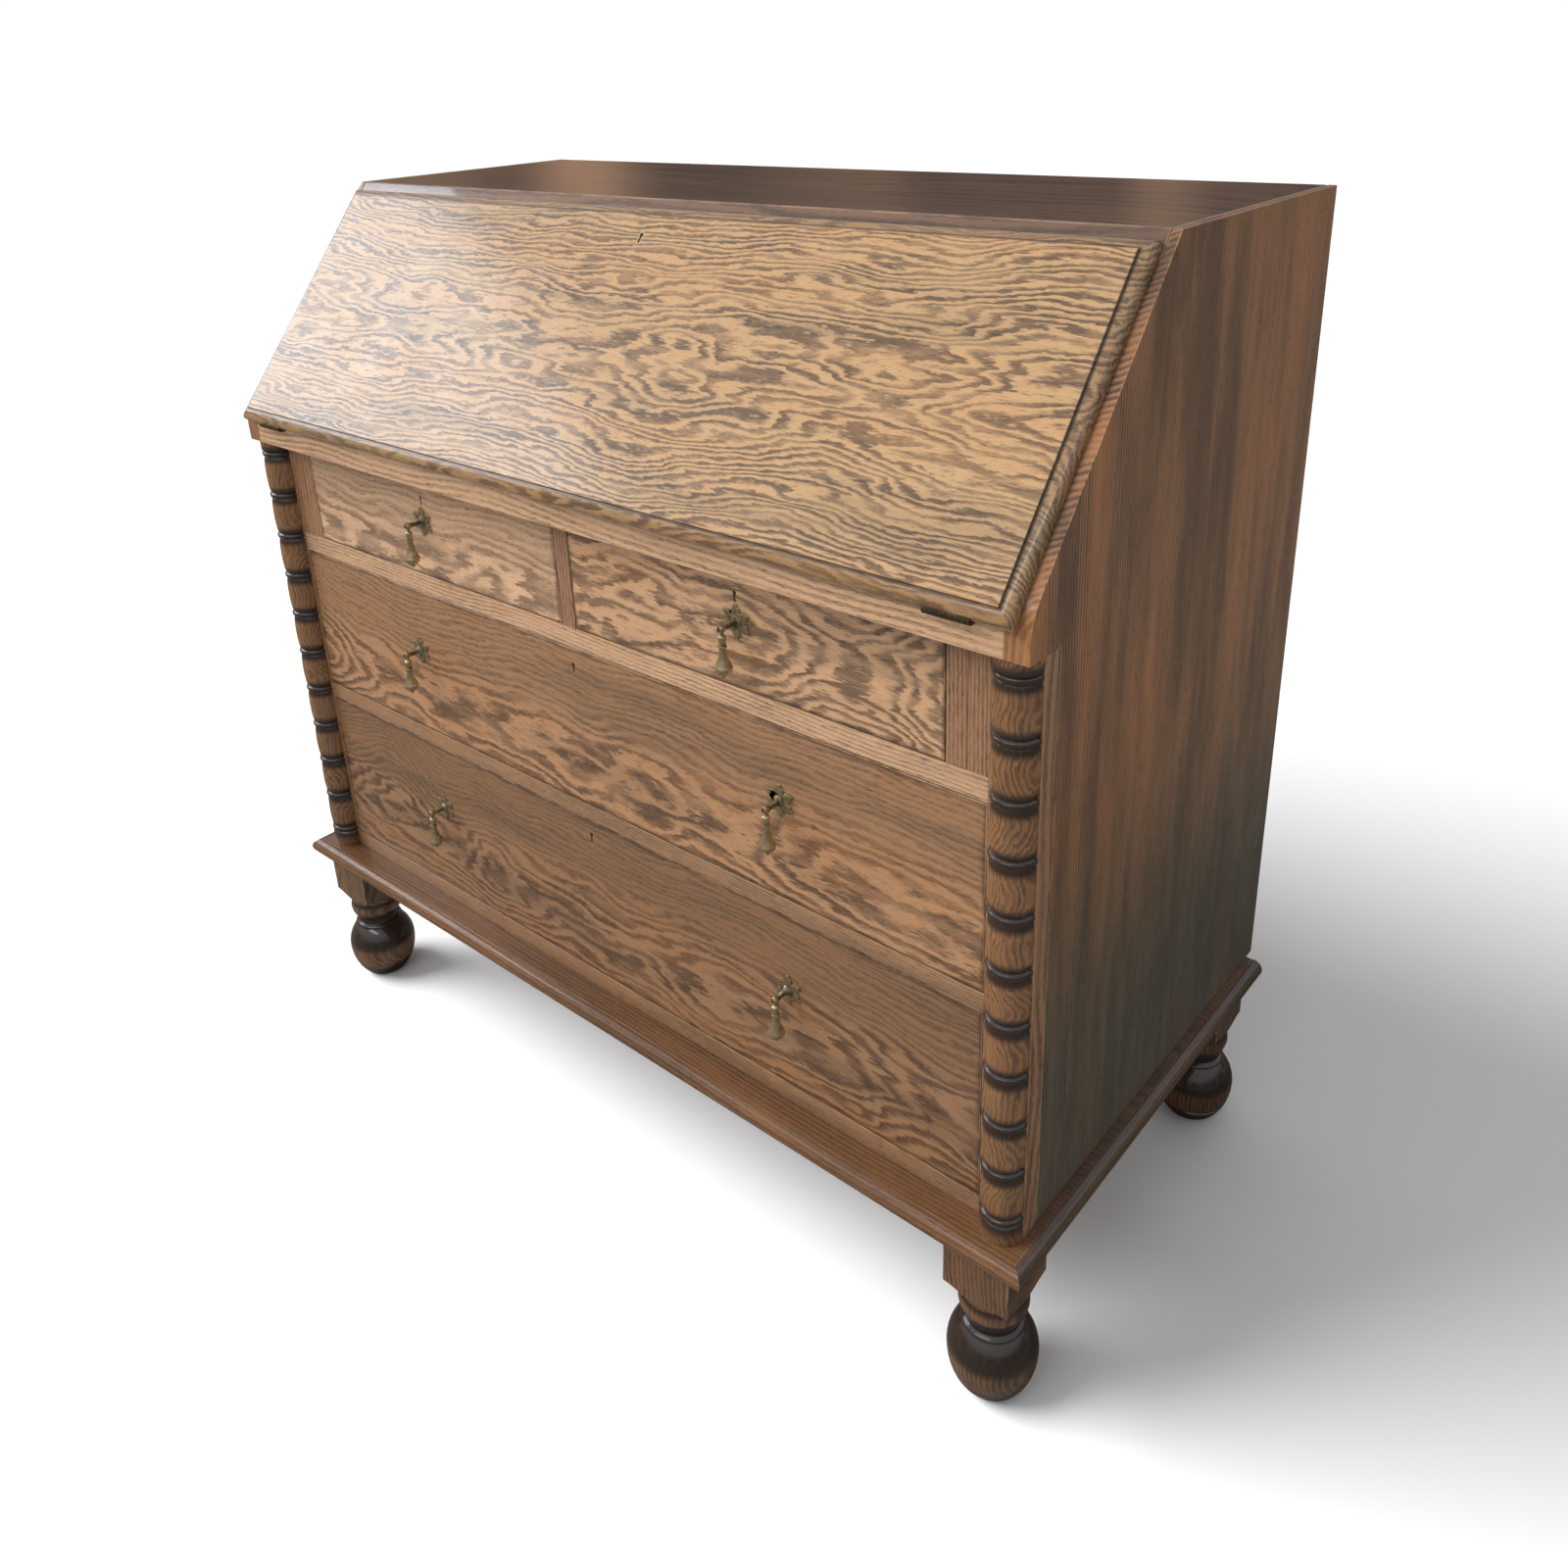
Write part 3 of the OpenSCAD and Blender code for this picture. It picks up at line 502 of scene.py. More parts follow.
def emboss(graph: Graph, shader: bpy.types.Node, height: Socket, relief: float) -> None:
    """Raises a surface by a height.

    Args:
        graph: the material's graph.
        shader: the material's shader.
        height: the height's socket.
        relief: how strong the relief is, which is also its depth in millimetres.
    """
    bump = graph.node("ShaderNodeBump")
    bump.inputs["Strength"].default_value = relief
    bump.inputs["Distance"].default_value = relief * MM
    graph.feed(bump.inputs["Height"], height)
    graph.feed(shader.inputs["Normal"], bump.outputs[0])


@dataclass(frozen=True)
class OakFinish:
    """Stained and polished oak, with the figure of one cut of board.

    The rim holds the fall's half width and the heights of its two edges. An edge box holds a drawer front's
    middle, half width, foot and top.
    """

    name: str
    run: GrainRun
    light: Colour
    dark: Colour
    deep: Colour = (0.022, 0.012, 0.007)
    warm: Colour = (0.30, 0.115, 0.035)
    worn: Colour = (0.42, 0.24, 0.12)
    contrast: float = 0.85
    pore_depth: float = 0.75
    warmth: float = 0.25
    streak: float = 0.35
    ring_pitch: float = 4.6 * MM
    pith_across: float = 0.0
    pith_deep: float = -0.03
    swing: float = 0.04
    swing_length: float = 0.5
    warp: float = 1.6
    warp_length: float = 0.16
    warp_width: float = 0.035
    jag: float = 0.85
    seed: float = 1.0
    wear: float = 0.55
    gloss: float = 0.36
    coat: float = 0.6
    coat_blur: float = 0.09
    relief: float = 0.35
    fade_and_sheen: Colour = (0.07, 0.066, 0.045)
    fade_and_sheen_high: float = 0.0
    fade_and_sheen_low: float = 0.0
    fade_and_sheen_amount: float = 0.0
    swell: bool = False
    rim: Point | None = None
    rim_width: float = 10 * MM
    rim_shade: float = 0.4
    line_inset: float = 10.6 * MM
    line_shade: float = 0.8
    plain_low: float = 0.0
    plain_high: float = 0.0
    plain_amount: float = 0.62
    edge_box: tuple[float, float, float, float] | None = None

    def make(self) -> bpy.types.Material:
        """Makes the material.

        Returns:
            The finished material.
        """
        made, graph, shader, place = start_material(self.name)
        board, figure = lay_figure(
            graph,
            place,
            self.run,
            Ring_Pitch=self.ring_pitch,
            Pith_Across=self.pith_across,
            Pith_Deep=self.pith_deep,
            Swing=self.swing,
            Swing_Length=self.swing_length,
            Warp=self.warp,
            Warp_Length=self.warp_length,
            Warp_Width=self.warp_width,
            Jag=self.jag,
            Seed=self.seed,
        )
        band = figure.outputs["Band"]
        pores = figure.outputs["Pores"]
        colour = self.stain(graph, board, figure)
        # Towards the bottom the board is mixed to a greenish grey: partly faded polish, partly a painted
        # reflection of the surroundings.
        if self.fade_and_sheen_amount:
            height = graph.parts(place)[2]
            discoloured_and_reflected = graph.ramp(height, self.fade_and_sheen_high, self.fade_and_sheen_low, end=self.fade_and_sheen_amount)
            colour = graph.mix(discoloured_and_reflected, colour, graph.mix(band, self.fade_and_sheen, self.deep))
        # A turning is darkened in its hollows: partly stain, partly painted shade.
        if self.swell:
            full = graph.node("ShaderNodeAttribute", attribute_name=SWELL).outputs["Fac"]
            hollow = use_group(graph, "hollows_stain_and_shade", Swell=full).outputs["Stain And Shade"]
            colour = graph.mix(hollow, colour, self.deep)
        # A drawer front is darkened along its outline: partly dust, partly painted shade.
        if self.edge_box:
            middle, half, low, high = self.edge_box
            outline = {"Middle": middle, "Half_Length": half, "Low": low, "High": high}
            dust_and_shade = use_group(graph, "edge_dust_and_shade", Vector=board, **outline)
            colour = graph.mix(dust_and_shade.outputs["Darkening"], colour, self.deep)
        # The fall's moulded rim gets painted shade, darkest along its quirk.
        if self.rim:
            colour = self.paint_rim_shade(graph, board, colour)
        eased = graph.node("ShaderNodeAttribute", attribute_name=EASED).outputs["Fac"]
        rubbed = use_group(graph, "edge_wear", Vector=place, Eased=eased).outputs["Wear"]
        colour = graph.mix(graph.math("MULTIPLY", rubbed, self.wear), colour, self.worn)
        graph.feed(shader.inputs["Base Color"], colour)
        polish = use_group(graph, "hand_polish", Vector=place, Pores=pores, Gloss=self.gloss)
        graph.feed(shader.inputs["Roughness"], polish.outputs["Roughness"])
        shader.inputs["Coat Weight"].default_value = self.coat
        shader.inputs["Coat Roughness"].default_value = self.coat_blur
        sunk_band = graph.math("MULTIPLY", band, -0.2)
        emboss(graph, shader, graph.math("SUBTRACT", sunk_band, pores), self.relief)
        return made

    def stain(self, graph: Graph, board: Socket, figure: bpy.types.Node) -> Socket:
        """Colours the board by its figure, with a plainer half where the board has one.

        Args:
            graph: the material's graph.
            board: the board's coordinates.
            figure: the figure's group node.

        Returns:
            The colour's socket.
        """
        stained = use_group(
            graph,
            "stained_oak",
            **{label: figure.outputs[label] for label in ("Band", "Tone", "Pores")},
            Light=self.light,
            Dark=self.dark,
            Warm=self.warm,
            Deep=self.deep,
            Contrast=self.contrast,
            Warmth=self.warmth,
            Streak=self.streak,
            Pore_Depth=self.pore_depth,
        )
        if self.plain_high:
            across = graph.parts(board)[1]
            plain = graph.ramp(across, self.plain_low, self.plain_high, end=self.plain_amount)
            middling = tuple((2 * pale + deep) / 3.6 for pale, deep in zip(self.light, self.dark))
            graph.feed(stained.inputs["Plain"], plain)
            graph.feed(stained.inputs["Middling"], middling)
        return stained.outputs["Color"]

    def paint_rim_shade(self, graph: Graph, board: Socket, colour: Socket) -> Socket:
        """Darkens a moulded rim with painted shade, most of all along its sunk line, where the painted
        shade is joined by dirt in the quirk.

        Args:
            graph: the material's graph.
            board: the board's coordinates.
            colour: the colour so far.

        Returns:
            The colour with its rim.
        """
        half, low, high = self.rim
        along, across, _ = graph.parts(board)
        from_end = graph.math("SUBTRACT", half, graph.math("ABSOLUTE", along))
        from_top = graph.math("SUBTRACT", high, across)
        from_foot = graph.math("SUBTRACT", across, low)
        inset = graph.math("MINIMUM", from_end, graph.math("MINIMUM", from_top, from_foot))
        # Painted shade on the rolled rim, and a darker painted line of shade and dirt in the quirk.
        on_rim = graph.ramp(inset, self.rim_width + MM, self.rim_width - MM, end=self.rim_shade)
        off_line = graph.math("ABSOLUTE", graph.math("SUBTRACT", inset, self.line_inset))
        on_line = graph.ramp(off_line, low=2.2 * MM, high=0.5 * MM, end=self.line_shade)
        return graph.mix(on_line, graph.mix(on_rim, colour, self.dark), self.deep)


@dataclass(frozen=True)
class PineFinish:
    """Plain unfinished pine or plywood inside the case, gone darker with age."""

    name: str
    run: GrainRun
    light: Colour
    dark: Colour
    seed: float = 1.0
    ring_pitch: float = 5 * MM
    relief: float = 0.3
    smoothest: float = 0.62
    roughest: float = 0.78

    def make(self) -> bpy.types.Material:
        """Makes the material.

        Returns:
            The finished material.
        """
        made, graph, shader, place = start_material(self.name)
        _, figure = lay_figure(
            graph,
            place,
            self.run,
            Ring_Pitch=self.ring_pitch,
            Pith_Across=0.02,
            Pith_Deep=-0.06,
            Swing=0.05,
            Swing_Length=0.9,
            Warp=1.2,
            Warp_Length=0.5,
            Warp_Width=0.05,
            Jag=0.1,
            Seed=self.seed,
        )
        band = figure.outputs["Band"]
        wood = use_group(graph, "bare_wood", Vector=place, Band=band, Light=self.light, Dark=self.dark)
        rough = graph.ramp(figure.outputs["Tone"], 0.3, 0.7, start=self.smoothest, end=self.roughest)
        graph.feed(shader.inputs["Base Color"], wood.outputs["Color"])
        graph.feed(shader.inputs["Roughness"], rough)
        emboss(graph, shader, band, self.relief)
        return made


@dataclass(frozen=True)
class BrassFinish:
    """Cast or sheet brass, dulled by age and rubbed brighter in places."""

    name: str
    bright: Colour
    tarnish: Colour
    cover: float = 0.5
    roughness: float = 0.34
    dulled: float = 0.24
    tarnish_metal: float = 0.7
    scale: float = 160.0
    relief: float = 0.25

    def make(self) -> bpy.types.Material:
        """Makes the material.

        Returns:
            The finished material.
        """
        made, graph, shader, place = start_material(self.name)
        edge = graph.node("ShaderNodeNewGeometry").outputs["Pointiness"]
        aged = use_group(graph, "tarnish", Vector=place, Scale=self.scale, Cover=self.cover, Edge=edge)
        darkening = aged.outputs["Darkening"]
        rough = graph.ramp(darkening, 0.0, 1.0, start=self.roughness, end=self.roughness + self.dulled)
        metal = graph.ramp(darkening, 0.0, 1.0, start=1.0, end=self.tarnish_metal)
        graph.feed(shader.inputs["Base Color"], graph.mix(darkening, self.bright, self.tarnish))
        graph.feed(shader.inputs["Roughness"], rough)
        graph.feed(shader.inputs["Metallic"], metal)
        emboss(graph, shader, aged.outputs["Bloom"], self.relief)
        return made


@dataclass(frozen=True)
class FloorFinish:
    """Pale matt card, dim and warm where it is reflected, and not there from below."""

    name: str
    pale: Colour = (0.92, 0.92, 0.92)
    reflected: Colour = (0.14, 0.12, 0.10)
    roughness: float = 0.9
    shine: float = 0.1

    def make(self) -> bpy.types.Material:
        """Makes the material.

        Returns:
            The finished material.
        """
        made, graph, shader, _ = start_material(self.name)
        glossy = graph.node("ShaderNodeLightPath").outputs["Is Glossy Ray"]
        below = graph.node("ShaderNodeNewGeometry").outputs["Backfacing"]
        graph.feed(shader.inputs["Base Color"], graph.mix(glossy, self.pale, self.reflected))
        graph.feed(shader.inputs["Alpha"], graph.math("SUBTRACT", 1.0, below))
        shader.inputs["Roughness"].default_value = self.roughness
        shader.inputs["Specular IOR Level"].default_value = self.shine
        return made


FINISHES: list[OakFinish | PineFinish | BrassFinish | FloorFinish] = [
    OakFinish(
        "fall_oak",
        GrainRun.UP_THE_FALL,
        light=(0.41, 0.245, 0.108),
        dark=(0.080, 0.044, 0.020),
        warm=(0.42, 0.19, 0.06),
        contrast=0.95,
        ring_pitch=4.4 * MM,
        pith_across=0.585,
        pith_deep=0.60,
        swing=0.09,
        swing_length=0.40,
        warp=6.5,
        warp_length=0.125,
        warp_width=0.028,
        jag=0.95,
        seed=2.0,
        coat=0.8,
        coat_blur=0.15,
        rim=(0.505, 0.4346, 0.7362),
    ),
    OakFinish(
        "short_left_oak",
        GrainRun.ALONG_FRONT,
        light=(0.54, 0.33, 0.19),
        dark=(0.16, 0.092, 0.052),
        pith_across=0.655,
        pith_deep=0.13,
        swing=0.05,
        swing_length=0.28,
        plain_low=0.668,
        plain_high=0.70,
        edge_box=(-0.221, 0.2105, 0.634, 0.744),
        warp=2.6,
        warp_length=0.09,
        warp_width=0.025,
        seed=3.3,
    ),
    OakFinish(
        "short_right_oak",
        GrainRun.ALONG_FRONT,
        light=(0.47, 0.27, 0.14),
        dark=(0.088, 0.05, 0.028),
        pith_across=0.68,
        pith_deep=0.12,
        swing=0.07,
        swing_length=0.25,
        edge_box=(0.221, 0.2105, 0.634, 0.744),
        warp=4.0,
        warp_length=0.09,
        warp_width=0.03,
        seed=5.1,
    ),
    OakFinish(
        "upper_drawer_oak",
        GrainRun.ALONG_FRONT,
        light=(0.36, 0.188, 0.088),
        dark=(0.070, 0.037, 0.019),
        pith_across=0.478,
        pith_deep=0.12,
        swing=0.07,
        swing_length=0.33,
        plain_low=0.50,
        plain_high=0.55,
        edge_box=(0.0, 0.4705, 0.436, 0.610),
        warp=3.6,
        warp_length=0.10,
        warp_width=0.03,
        seed=7.9,
    ),
    OakFinish(
        "lower_drawer_oak",
        GrainRun.ALONG_FRONT,
        light=(0.245, 0.128, 0.06),
        dark=(0.052, 0.027, 0.014),
        pith_across=0.285,
        pith_deep=0.12,
        swing=0.07,
        swing_length=0.30,
        plain_low=0.315,
        plain_high=0.36,
        edge_box=(0.0, 0.4705, 0.222, 0.416),
        warp=4.0,
        warp_length=0.10,
        warp_width=0.03,
        seed=11.4,
    ),
    OakFinish(
        "rail_oak",
        GrainRun.ALONG_FRONT,
        light=(0.50, 0.30, 0.165),
        dark=(0.17, 0.095, 0.05),
        pith_across=0.9,
        ring_pitch=3.2 * MM,
        warp=1.0,
        seed=13.0,
        contrast=0.6,
    ),
    OakFinish(
        "low_rail_oak",
        GrainRun.ALONG_FRONT,
        light=(0.30, 0.165, 0.082),
        dark=(0.09, 0.048, 0.025),
        pith_across=0.9,
        ring_pitch=2.8 * MM,
        warp=1.0,
        seed=15.0,
        contrast=0.7,
    ),
    OakFinish(
        "stile_oak",
        GrainRun.UP_FRONT,
        light=(0.29, 0.15, 0.075),
        dark=(0.085, 0.044, 0.023),
        warm=(0.27, 0.115, 0.048),
        pith_across=0.3,
        ring_pitch=3.5 * MM,
        warp=1.0,
        seed=17.0,
        contrast=0.7,
        warmth=0.4,
    ),
    OakFinish(
        "side_oak",
        GrainRun.UP_SIDE,
        light=(0.28, 0.128, 0.050),
        dark=(0.066, 0.033, 0.018),
        warm=(0.36, 0.145, 0.045),
        # The greenish grey low on the side: faded polish and a painted reflection.
        fade_and_sheen=(0.085, 0.098, 0.072),
        contrast=1.0,
        warmth=0.55,
        pith_across=-0.4,
        pith_deep=-0.6,
        ring_pitch=3.6 * MM,
        swing=0.03,
        swing_length=1.2,
        warp=2.0,
        warp_length=0.5,
        warp_width=0.03,
        jag=0.3,
        seed=19.0,
        fade_and_sheen_high=0.66,
        fade_and_sheen_low=0.32,
        fade_and_sheen_amount=0.85,
        streak=0.65,
        coat=0.5,
    ),
    OakFinish(
        "top_oak",
        GrainRun.ALONG_TOP,
        light=(0.13, 0.068, 0.036),
        dark=(0.045, 0.024, 0.014),
        pith_across=0.3,
        ring_pitch=6 * MM,
        seed=23.0,
        coat=1.0,
        coat_blur=0.05,
        worn=(0.30, 0.17, 0.09),
    ),
    OakFinish(
        "base_oak",
        GrainRun.ALONG_FRONT,
        light=(0.14, 0.066, 0.028),
        dark=(0.046, 0.022, 0.010),
        pith_across=0.4,
        ring_pitch=4 * MM,
        warp=1.2,
        seed=29.0,
        contrast=0.7,
        wear=0.15,
    ),
    OakFinish(
        "base_end_oak",
        GrainRun.ALONG_DEPTH,
        light=(0.075, 0.050, 0.028),
        dark=(0.025, 0.017, 0.010),
        pith_across=-0.7,
        ring_pitch=4 * MM,
        warp=1.2,
        seed=31.0,
        contrast=0.7,
        wear=0.15,
    ),
    OakFinish(
        "turned_oak",
        GrainRun.UP_FRONT,
        light=(0.215, 0.099, 0.033),
        dark=(0.068, 0.032, 0.014),
        deep=(0.012, 0.007, 0.005),
        contrast=0.75,
        pith_across=0.50,
        pith_deep=0.24,
        ring_pitch=4.2 * MM,
        swing=0.05,
        swing_length=0.06,
        warp=2.5,
        warp_length=0.035,
        warp_width=0.012,
        seed=37.0,
        coat=0.9,
        coat_blur=0.12,
        swell=True,
    ),
    OakFinish(
        "foot_oak",
        GrainRun.UP_FRONT,
        light=(0.13, 0.062, 0.026),
        dark=(0.04, 0.02, 0.011),
        deep=(0.010, 0.006, 0.005),
        pith_across=0.5,
        pith_deep=0.22,
        ring_pitch=4.5 * MM,
        swing=0.04,
        swing_length=0.12,
        warp=1.5,
        warp_length=0.06,
        warp_width=0.03,
        seed=41.0,
        coat=1.0,
        coat_blur=0.1,
        swell=True,
    ),
    OakFinish(
        "inner_oak",
        GrainRun.ALONG_TOP,
        light=(0.26, 0.13, 0.06),
        dark=(0.09, 0.046, 0.022),
        pith_across=0.5,
        seed=43.0,
        coat=0.3,
        coat_blur=0.25,
    ),
    OakFinish(
        "inner_upright_oak",
        GrainRun.UP_SIDE,
        light=(0.26, 0.13, 0.06),
        dark=(0.09, 0.046, 0.022),
        pith_across=0.5,
        ring_pitch=5 * MM,
        seed=44.0,
        coat=0.3,
        coat_blur=0.25,
    ),
    PineFinish("drawer_pine", GrainRun.DEEP_SIDE, (0.40, 0.255, 0.125), (0.23, 0.125, 0.055), seed=47.0),
    PineFinish("board_pine", GrainRun.ALONG_TOP, (0.38, 0.24, 0.12), (0.22, 0.12, 0.055), seed=53.0),
    PineFinish(
        "back_ply",
        GrainRun.UP_FRONT,
        light=(0.235, 0.13, 0.062),
        dark=(0.15, 0.08, 0.038),
        seed=59.0,
        ring_pitch=6 * MM,
    ),
    BrassFinish("handle_brass", (0.70, 0.56, 0.33), (0.11, 0.085, 0.048), 0.55, 0.3),
    BrassFinish("drop_brass", (0.80, 0.64, 0.37), (0.17, 0.13, 0.07), 0.42, 0.24),
    BrassFinish("hinge_brass", (0.19, 0.135, 0.07), (0.03, 0.024, 0.016), 0.8, 0.42),
    BrassFinish("lock_brass", (0.55, 0.39, 0.17), (0.16, 0.11, 0.05), 0.6, 0.38),
    BrassFinish("escutcheon_brass", (0.66, 0.55, 0.36), (0.28, 0.20, 0.11), 0.35, 0.35),
    FloorFinish("studio_floor"),
]


# ---------------------------------------------------------------- helpers for making pieces


@dataclass(frozen=True)
class Easing:
    """How a piece's edges are rounded, and how it is then shaded.

    The width is how far a rounding reaches from its edge, and shortest is the length under which an edge is
    left sharp. Segments are the faces across a rounding. An edge sharper than shade_angle, in degrees, is
    shaded sharp.
    """

    width: float
    shortest: float = 12 * MM
    segments: int = 2
    shade_angle: float = 32.0


def every_edge(start: Vector, end: Vector) -> bool:
    """Says yes to any edge."""
    return True


def select_none() -> None:
    """Deselects every object."""
    for other in bpy.context.selected_objects:
        other.select_set(False)


def select_only(piece: bpy.types.Object) -> None:
    """Deselects everything, then selects one piece and makes it active.

    Args:
        piece: the piece to select.
    """
    select_none()
    piece.select_set(True)
    bpy.context.view_layer.objects.active = piece


def copy_of(node: str, name: str) -> bpy.types.Object:
    """Copies the mesh of a frame node into a new piece and closes it.

    Args:
        node: the node's name.
        name: the new piece's name.

    Returns:
        The new piece, with its doubles merged and its flat faces made whole.
    """
    piece = bpy.data.objects.new(name, frame["nodes"][node].data.copy())
    piece.data.name = name
    bpy.context.scene.collection.objects.link(piece)
    select_only(piece)
    bpy.ops.object.mode_set(mode="EDIT")
    bpy.ops.mesh.select_all(action="SELECT")
    bpy.ops.mesh.remove_doubles(threshold=WELD)
    bpy.ops.mesh.dissolve_limited(angle_limit=FLAT_ANGLE)
    bpy.ops.mesh.select_all(action="DESELECT")
    bpy.ops.object.mode_set(mode="OBJECT")
    return piece


def lies_in(face: bmesh.types.BMFace, flats: list[tuple[Vector, float]]) -> bool:
    """Tells whether a face lies in one of the flats that a board had before its edges were eased.

    Args:
        face: the face.
        flats: each flat's normal and its distance from the origin.

    Returns:
        Whether it does.
    """
    parallel, in_plane = 0.9999, 0.005 * MM
    return any(
        face.normal.dot(normal) > parallel and abs(normal.dot(face.verts[0].co) - reach) < in_plane
        for normal, reach in flats
    )


def ease_edges(piece: bpy.types.Object, easing: Easing, keep: Callable[[Vector, Vector], bool]) -> None:
    """Rounds the long sharp edges of a piece and marks the new faces.

    Args:
        piece: the piece.
        easing: how they are rounded.
        keep: tells from an edge's two ends whether it is eased.
    """
    select_only(piece)
    bpy.ops.object.mode_set(mode="EDIT")
    bpy.ops.mesh.select_mode(type="EDGE")
    mesh = bmesh.from_edit_mesh(piece.data)
    mesh.faces.layers.float.new(EASED)
    flats = [(face.normal.copy(), face.normal.dot(face.verts[0].co)) for face in mesh.faces]
    for edge in mesh.edges:
        start, end = (vertex.co for vertex in edge.verts)
        sharp = len(edge.link_faces) == 2 and edge.calc_face_angle(0.0) > SHARP_ANGLE
        edge.select_set(sharp and edge.calc_length() > easing.shortest and keep(start, end))
    bmesh.update_edit_mesh(piece.data)
    bpy.ops.mesh.bevel(
        offset=easing.width, segments=easing.segments, profile=0.5, affect="EDGES", clamp_overlap=False
    )
    mesh = bmesh.from_edit_mesh(piece.data)
    layer = mesh.faces.layers.float[EASED]
    for face in mesh.faces:
        if face.select and not lies_in(face, flats):
            face[layer] = 1.0
    bmesh.update_edit_mesh(piece.data)
    bpy.ops.mesh.select_all(action="DESELECT")
    bpy.ops.mesh.select_mode(type="VERT")
    bpy.ops.object.mode_set(mode="OBJECT")


def smooth(piece: bpy.types.Object, angle: float = 32.0) -> None:
    """Shades a piece smooth up to an angle, with its broad faces kept flat.

    Args:
        piece: the piece.
        angle: the angle in degrees past which an edge stays sharp.
    """
    select_only(piece)
    bpy.ops.object.shade_smooth_by_angle(angle=math.radians(angle))
    weigh = piece.modifiers.new("flat_faces_stay_flat", "WEIGHTED_NORMAL")
    weigh.keep_sharp = True
    weigh.weight = 90
    bpy.ops.object.modifier_apply(modifier=weigh.name)


def dress(piece: bpy.types.Object, finish: str) -> None:
    """Gives a piece its only material, by the finish's name."""
    piece.data.materials.clear()
    piece.data.materials.append(SHELF[finish])


def dress_node(node: str, finish: str) -> None:
    """Gives a frame node its material, and leaves its mesh alone.

    Args:
        node: the node's name.
        finish: the finish's name.
    """
    shown = frame["nodes"][node]
    material = SHELF[finish]
    if not shown.material_slots:
        shown.data.materials.append(material)
    for holder in shown.material_slots:
        holder.material = material
    LOG.info("%s keeps its frame shape, in %s", node, finish)


def stand_in(piece: bpy.types.Object, node: str, finish: str, slot: str) -> None:
    """Puts a finished piece in a frame node's place.

    Args:
        piece: the piece.
        node: the node that it stands for.
        finish: its finish's name.
        slot: the record's material slot; not used.
    """
    dress(piece, finish)
    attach(piece, NODE_BODY[node])
    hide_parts(node)
    LOG.info("%s stands for %s, with %d faces, in %s", piece.name, node, len(piece.data.polygons), finish)


def ease_node(
    node: str,
    name: str,
    easing: Easing,
    finish: str,
    slot: str,
    keep: Callable[[Vector, Vector], bool] = every_edge,
) -> bpy.types.Object:
    """Makes a node's piece with eased edges and puts it in the node's place.

    Args:
        node: the node's name.
        name: the piece's name.
        easing: how its edges are rounded.
        finish: its finish's name.
        slot: the record's material slot.
        keep: tells from an edge's two ends whether it is eased.

    Returns:
        The piece.
    """
    piece = copy_of(node, name)
    ease_edges(piece, easing, keep)
    smooth(piece, easing.shade_angle)
    stand_in(piece, node, finish, slot)
    return piece


def smooth_node(node: str, name: str, finish: str, slot: str, angle: float = 32.0) -> None:
    """Makes a node's piece with smooth shading and puts it in the node's place.

    Args:
        node: the node's name.
        name: the piece's name.
        finish: its finish's name.
        slot: the record's material slot.
        angle: the angle in degrees past which an edge stays sharp.
    """
    piece = copy_of(node, name)
    smooth(piece, angle)
    stand_in(piece, node, finish, slot)


def turned(name: str, profile: Profile, centre: Point, sweep: float, steps: int) -> bpy.types.Object:
    """Turns a profile about an upright line, from the right round the front.

    Args:
        name: the piece's name.
        profile: radius and height of each point, from the bottom up.
        centre: a point of the line.
        sweep: the angle turned through, in degrees.
        steps: the steps round the sweep.

    Returns:
        The turned piece, closed.
    """
    x, y, z = centre
    (radius, height), rest = profile[0], profile[1:]
    select_none()
    bpy.ops.mesh.primitive_plane_add(size=MM, location=(x + radius, y, z + height))
    piece = bpy.context.object
    piece.name = name
    piece.data.name = name
    bpy.ops.object.transform_apply(location=True, rotation=True, scale=True)
    bpy.ops.object.mode_set(mode="EDIT")
    bpy.ops.mesh.select_all(action="SELECT")
    bpy.ops.mesh.merge(type="CENTER")
    for next_radius, next_height in rest:
        step = (next_radius - radius, 0.0, next_height - height)
        bpy.ops.mesh.extrude_region_move(TRANSFORM_OT_translate={"value": step})
        radius, height = next_radius, next_height
    bpy.ops.mesh.select_all(action="SELECT")
    bpy.ops.mesh.spin(steps=steps, angle=math.radians(sweep), center=centre, axis=(0.0, 0.0, 1.0))
    bpy.ops.mesh.select_all(action="SELECT")
    bpy.ops.mesh.remove_doubles(threshold=WELD)
    bpy.ops.mesh.select_all(action="DESELECT")
    bpy.ops.mesh.select_mode(type="EDGE")
    bpy.ops.mesh.select_non_manifold()
    if any(edge.select for edge in bmesh.from_edit_mesh(piece.data).edges):
        bpy.ops.mesh.edge_face_add()
    bpy.ops.mesh.select_mode(type="VERT")
    bpy.ops.mesh.select_all(action="SELECT")
    bpy.ops.mesh.normals_make_consistent(inside=False)
    bpy.ops.mesh.select_all(action="DESELECT")
    bpy.ops.object.mode_set(mode="OBJECT")
    return piece


def mark_swell(piece: bpy.types.Object, fullness: Callable[[Vector], float]) -> None:
    """Writes how full a turning is at each point, for the stain and the painted shade laid in its hollows.

    Args:
        piece: the turned piece.
        fullness: gives 0 in a hollow to 1 on a swell, from a place.
    """
    layer = piece.data.attributes.new(SWELL, "FLOAT", "POINT")
    for vertex, value in zip(piece.data.vertices, layer.data):
        value.value = fullness(vertex.co)


# ---------------------------------------------------------------- sub-assemblies


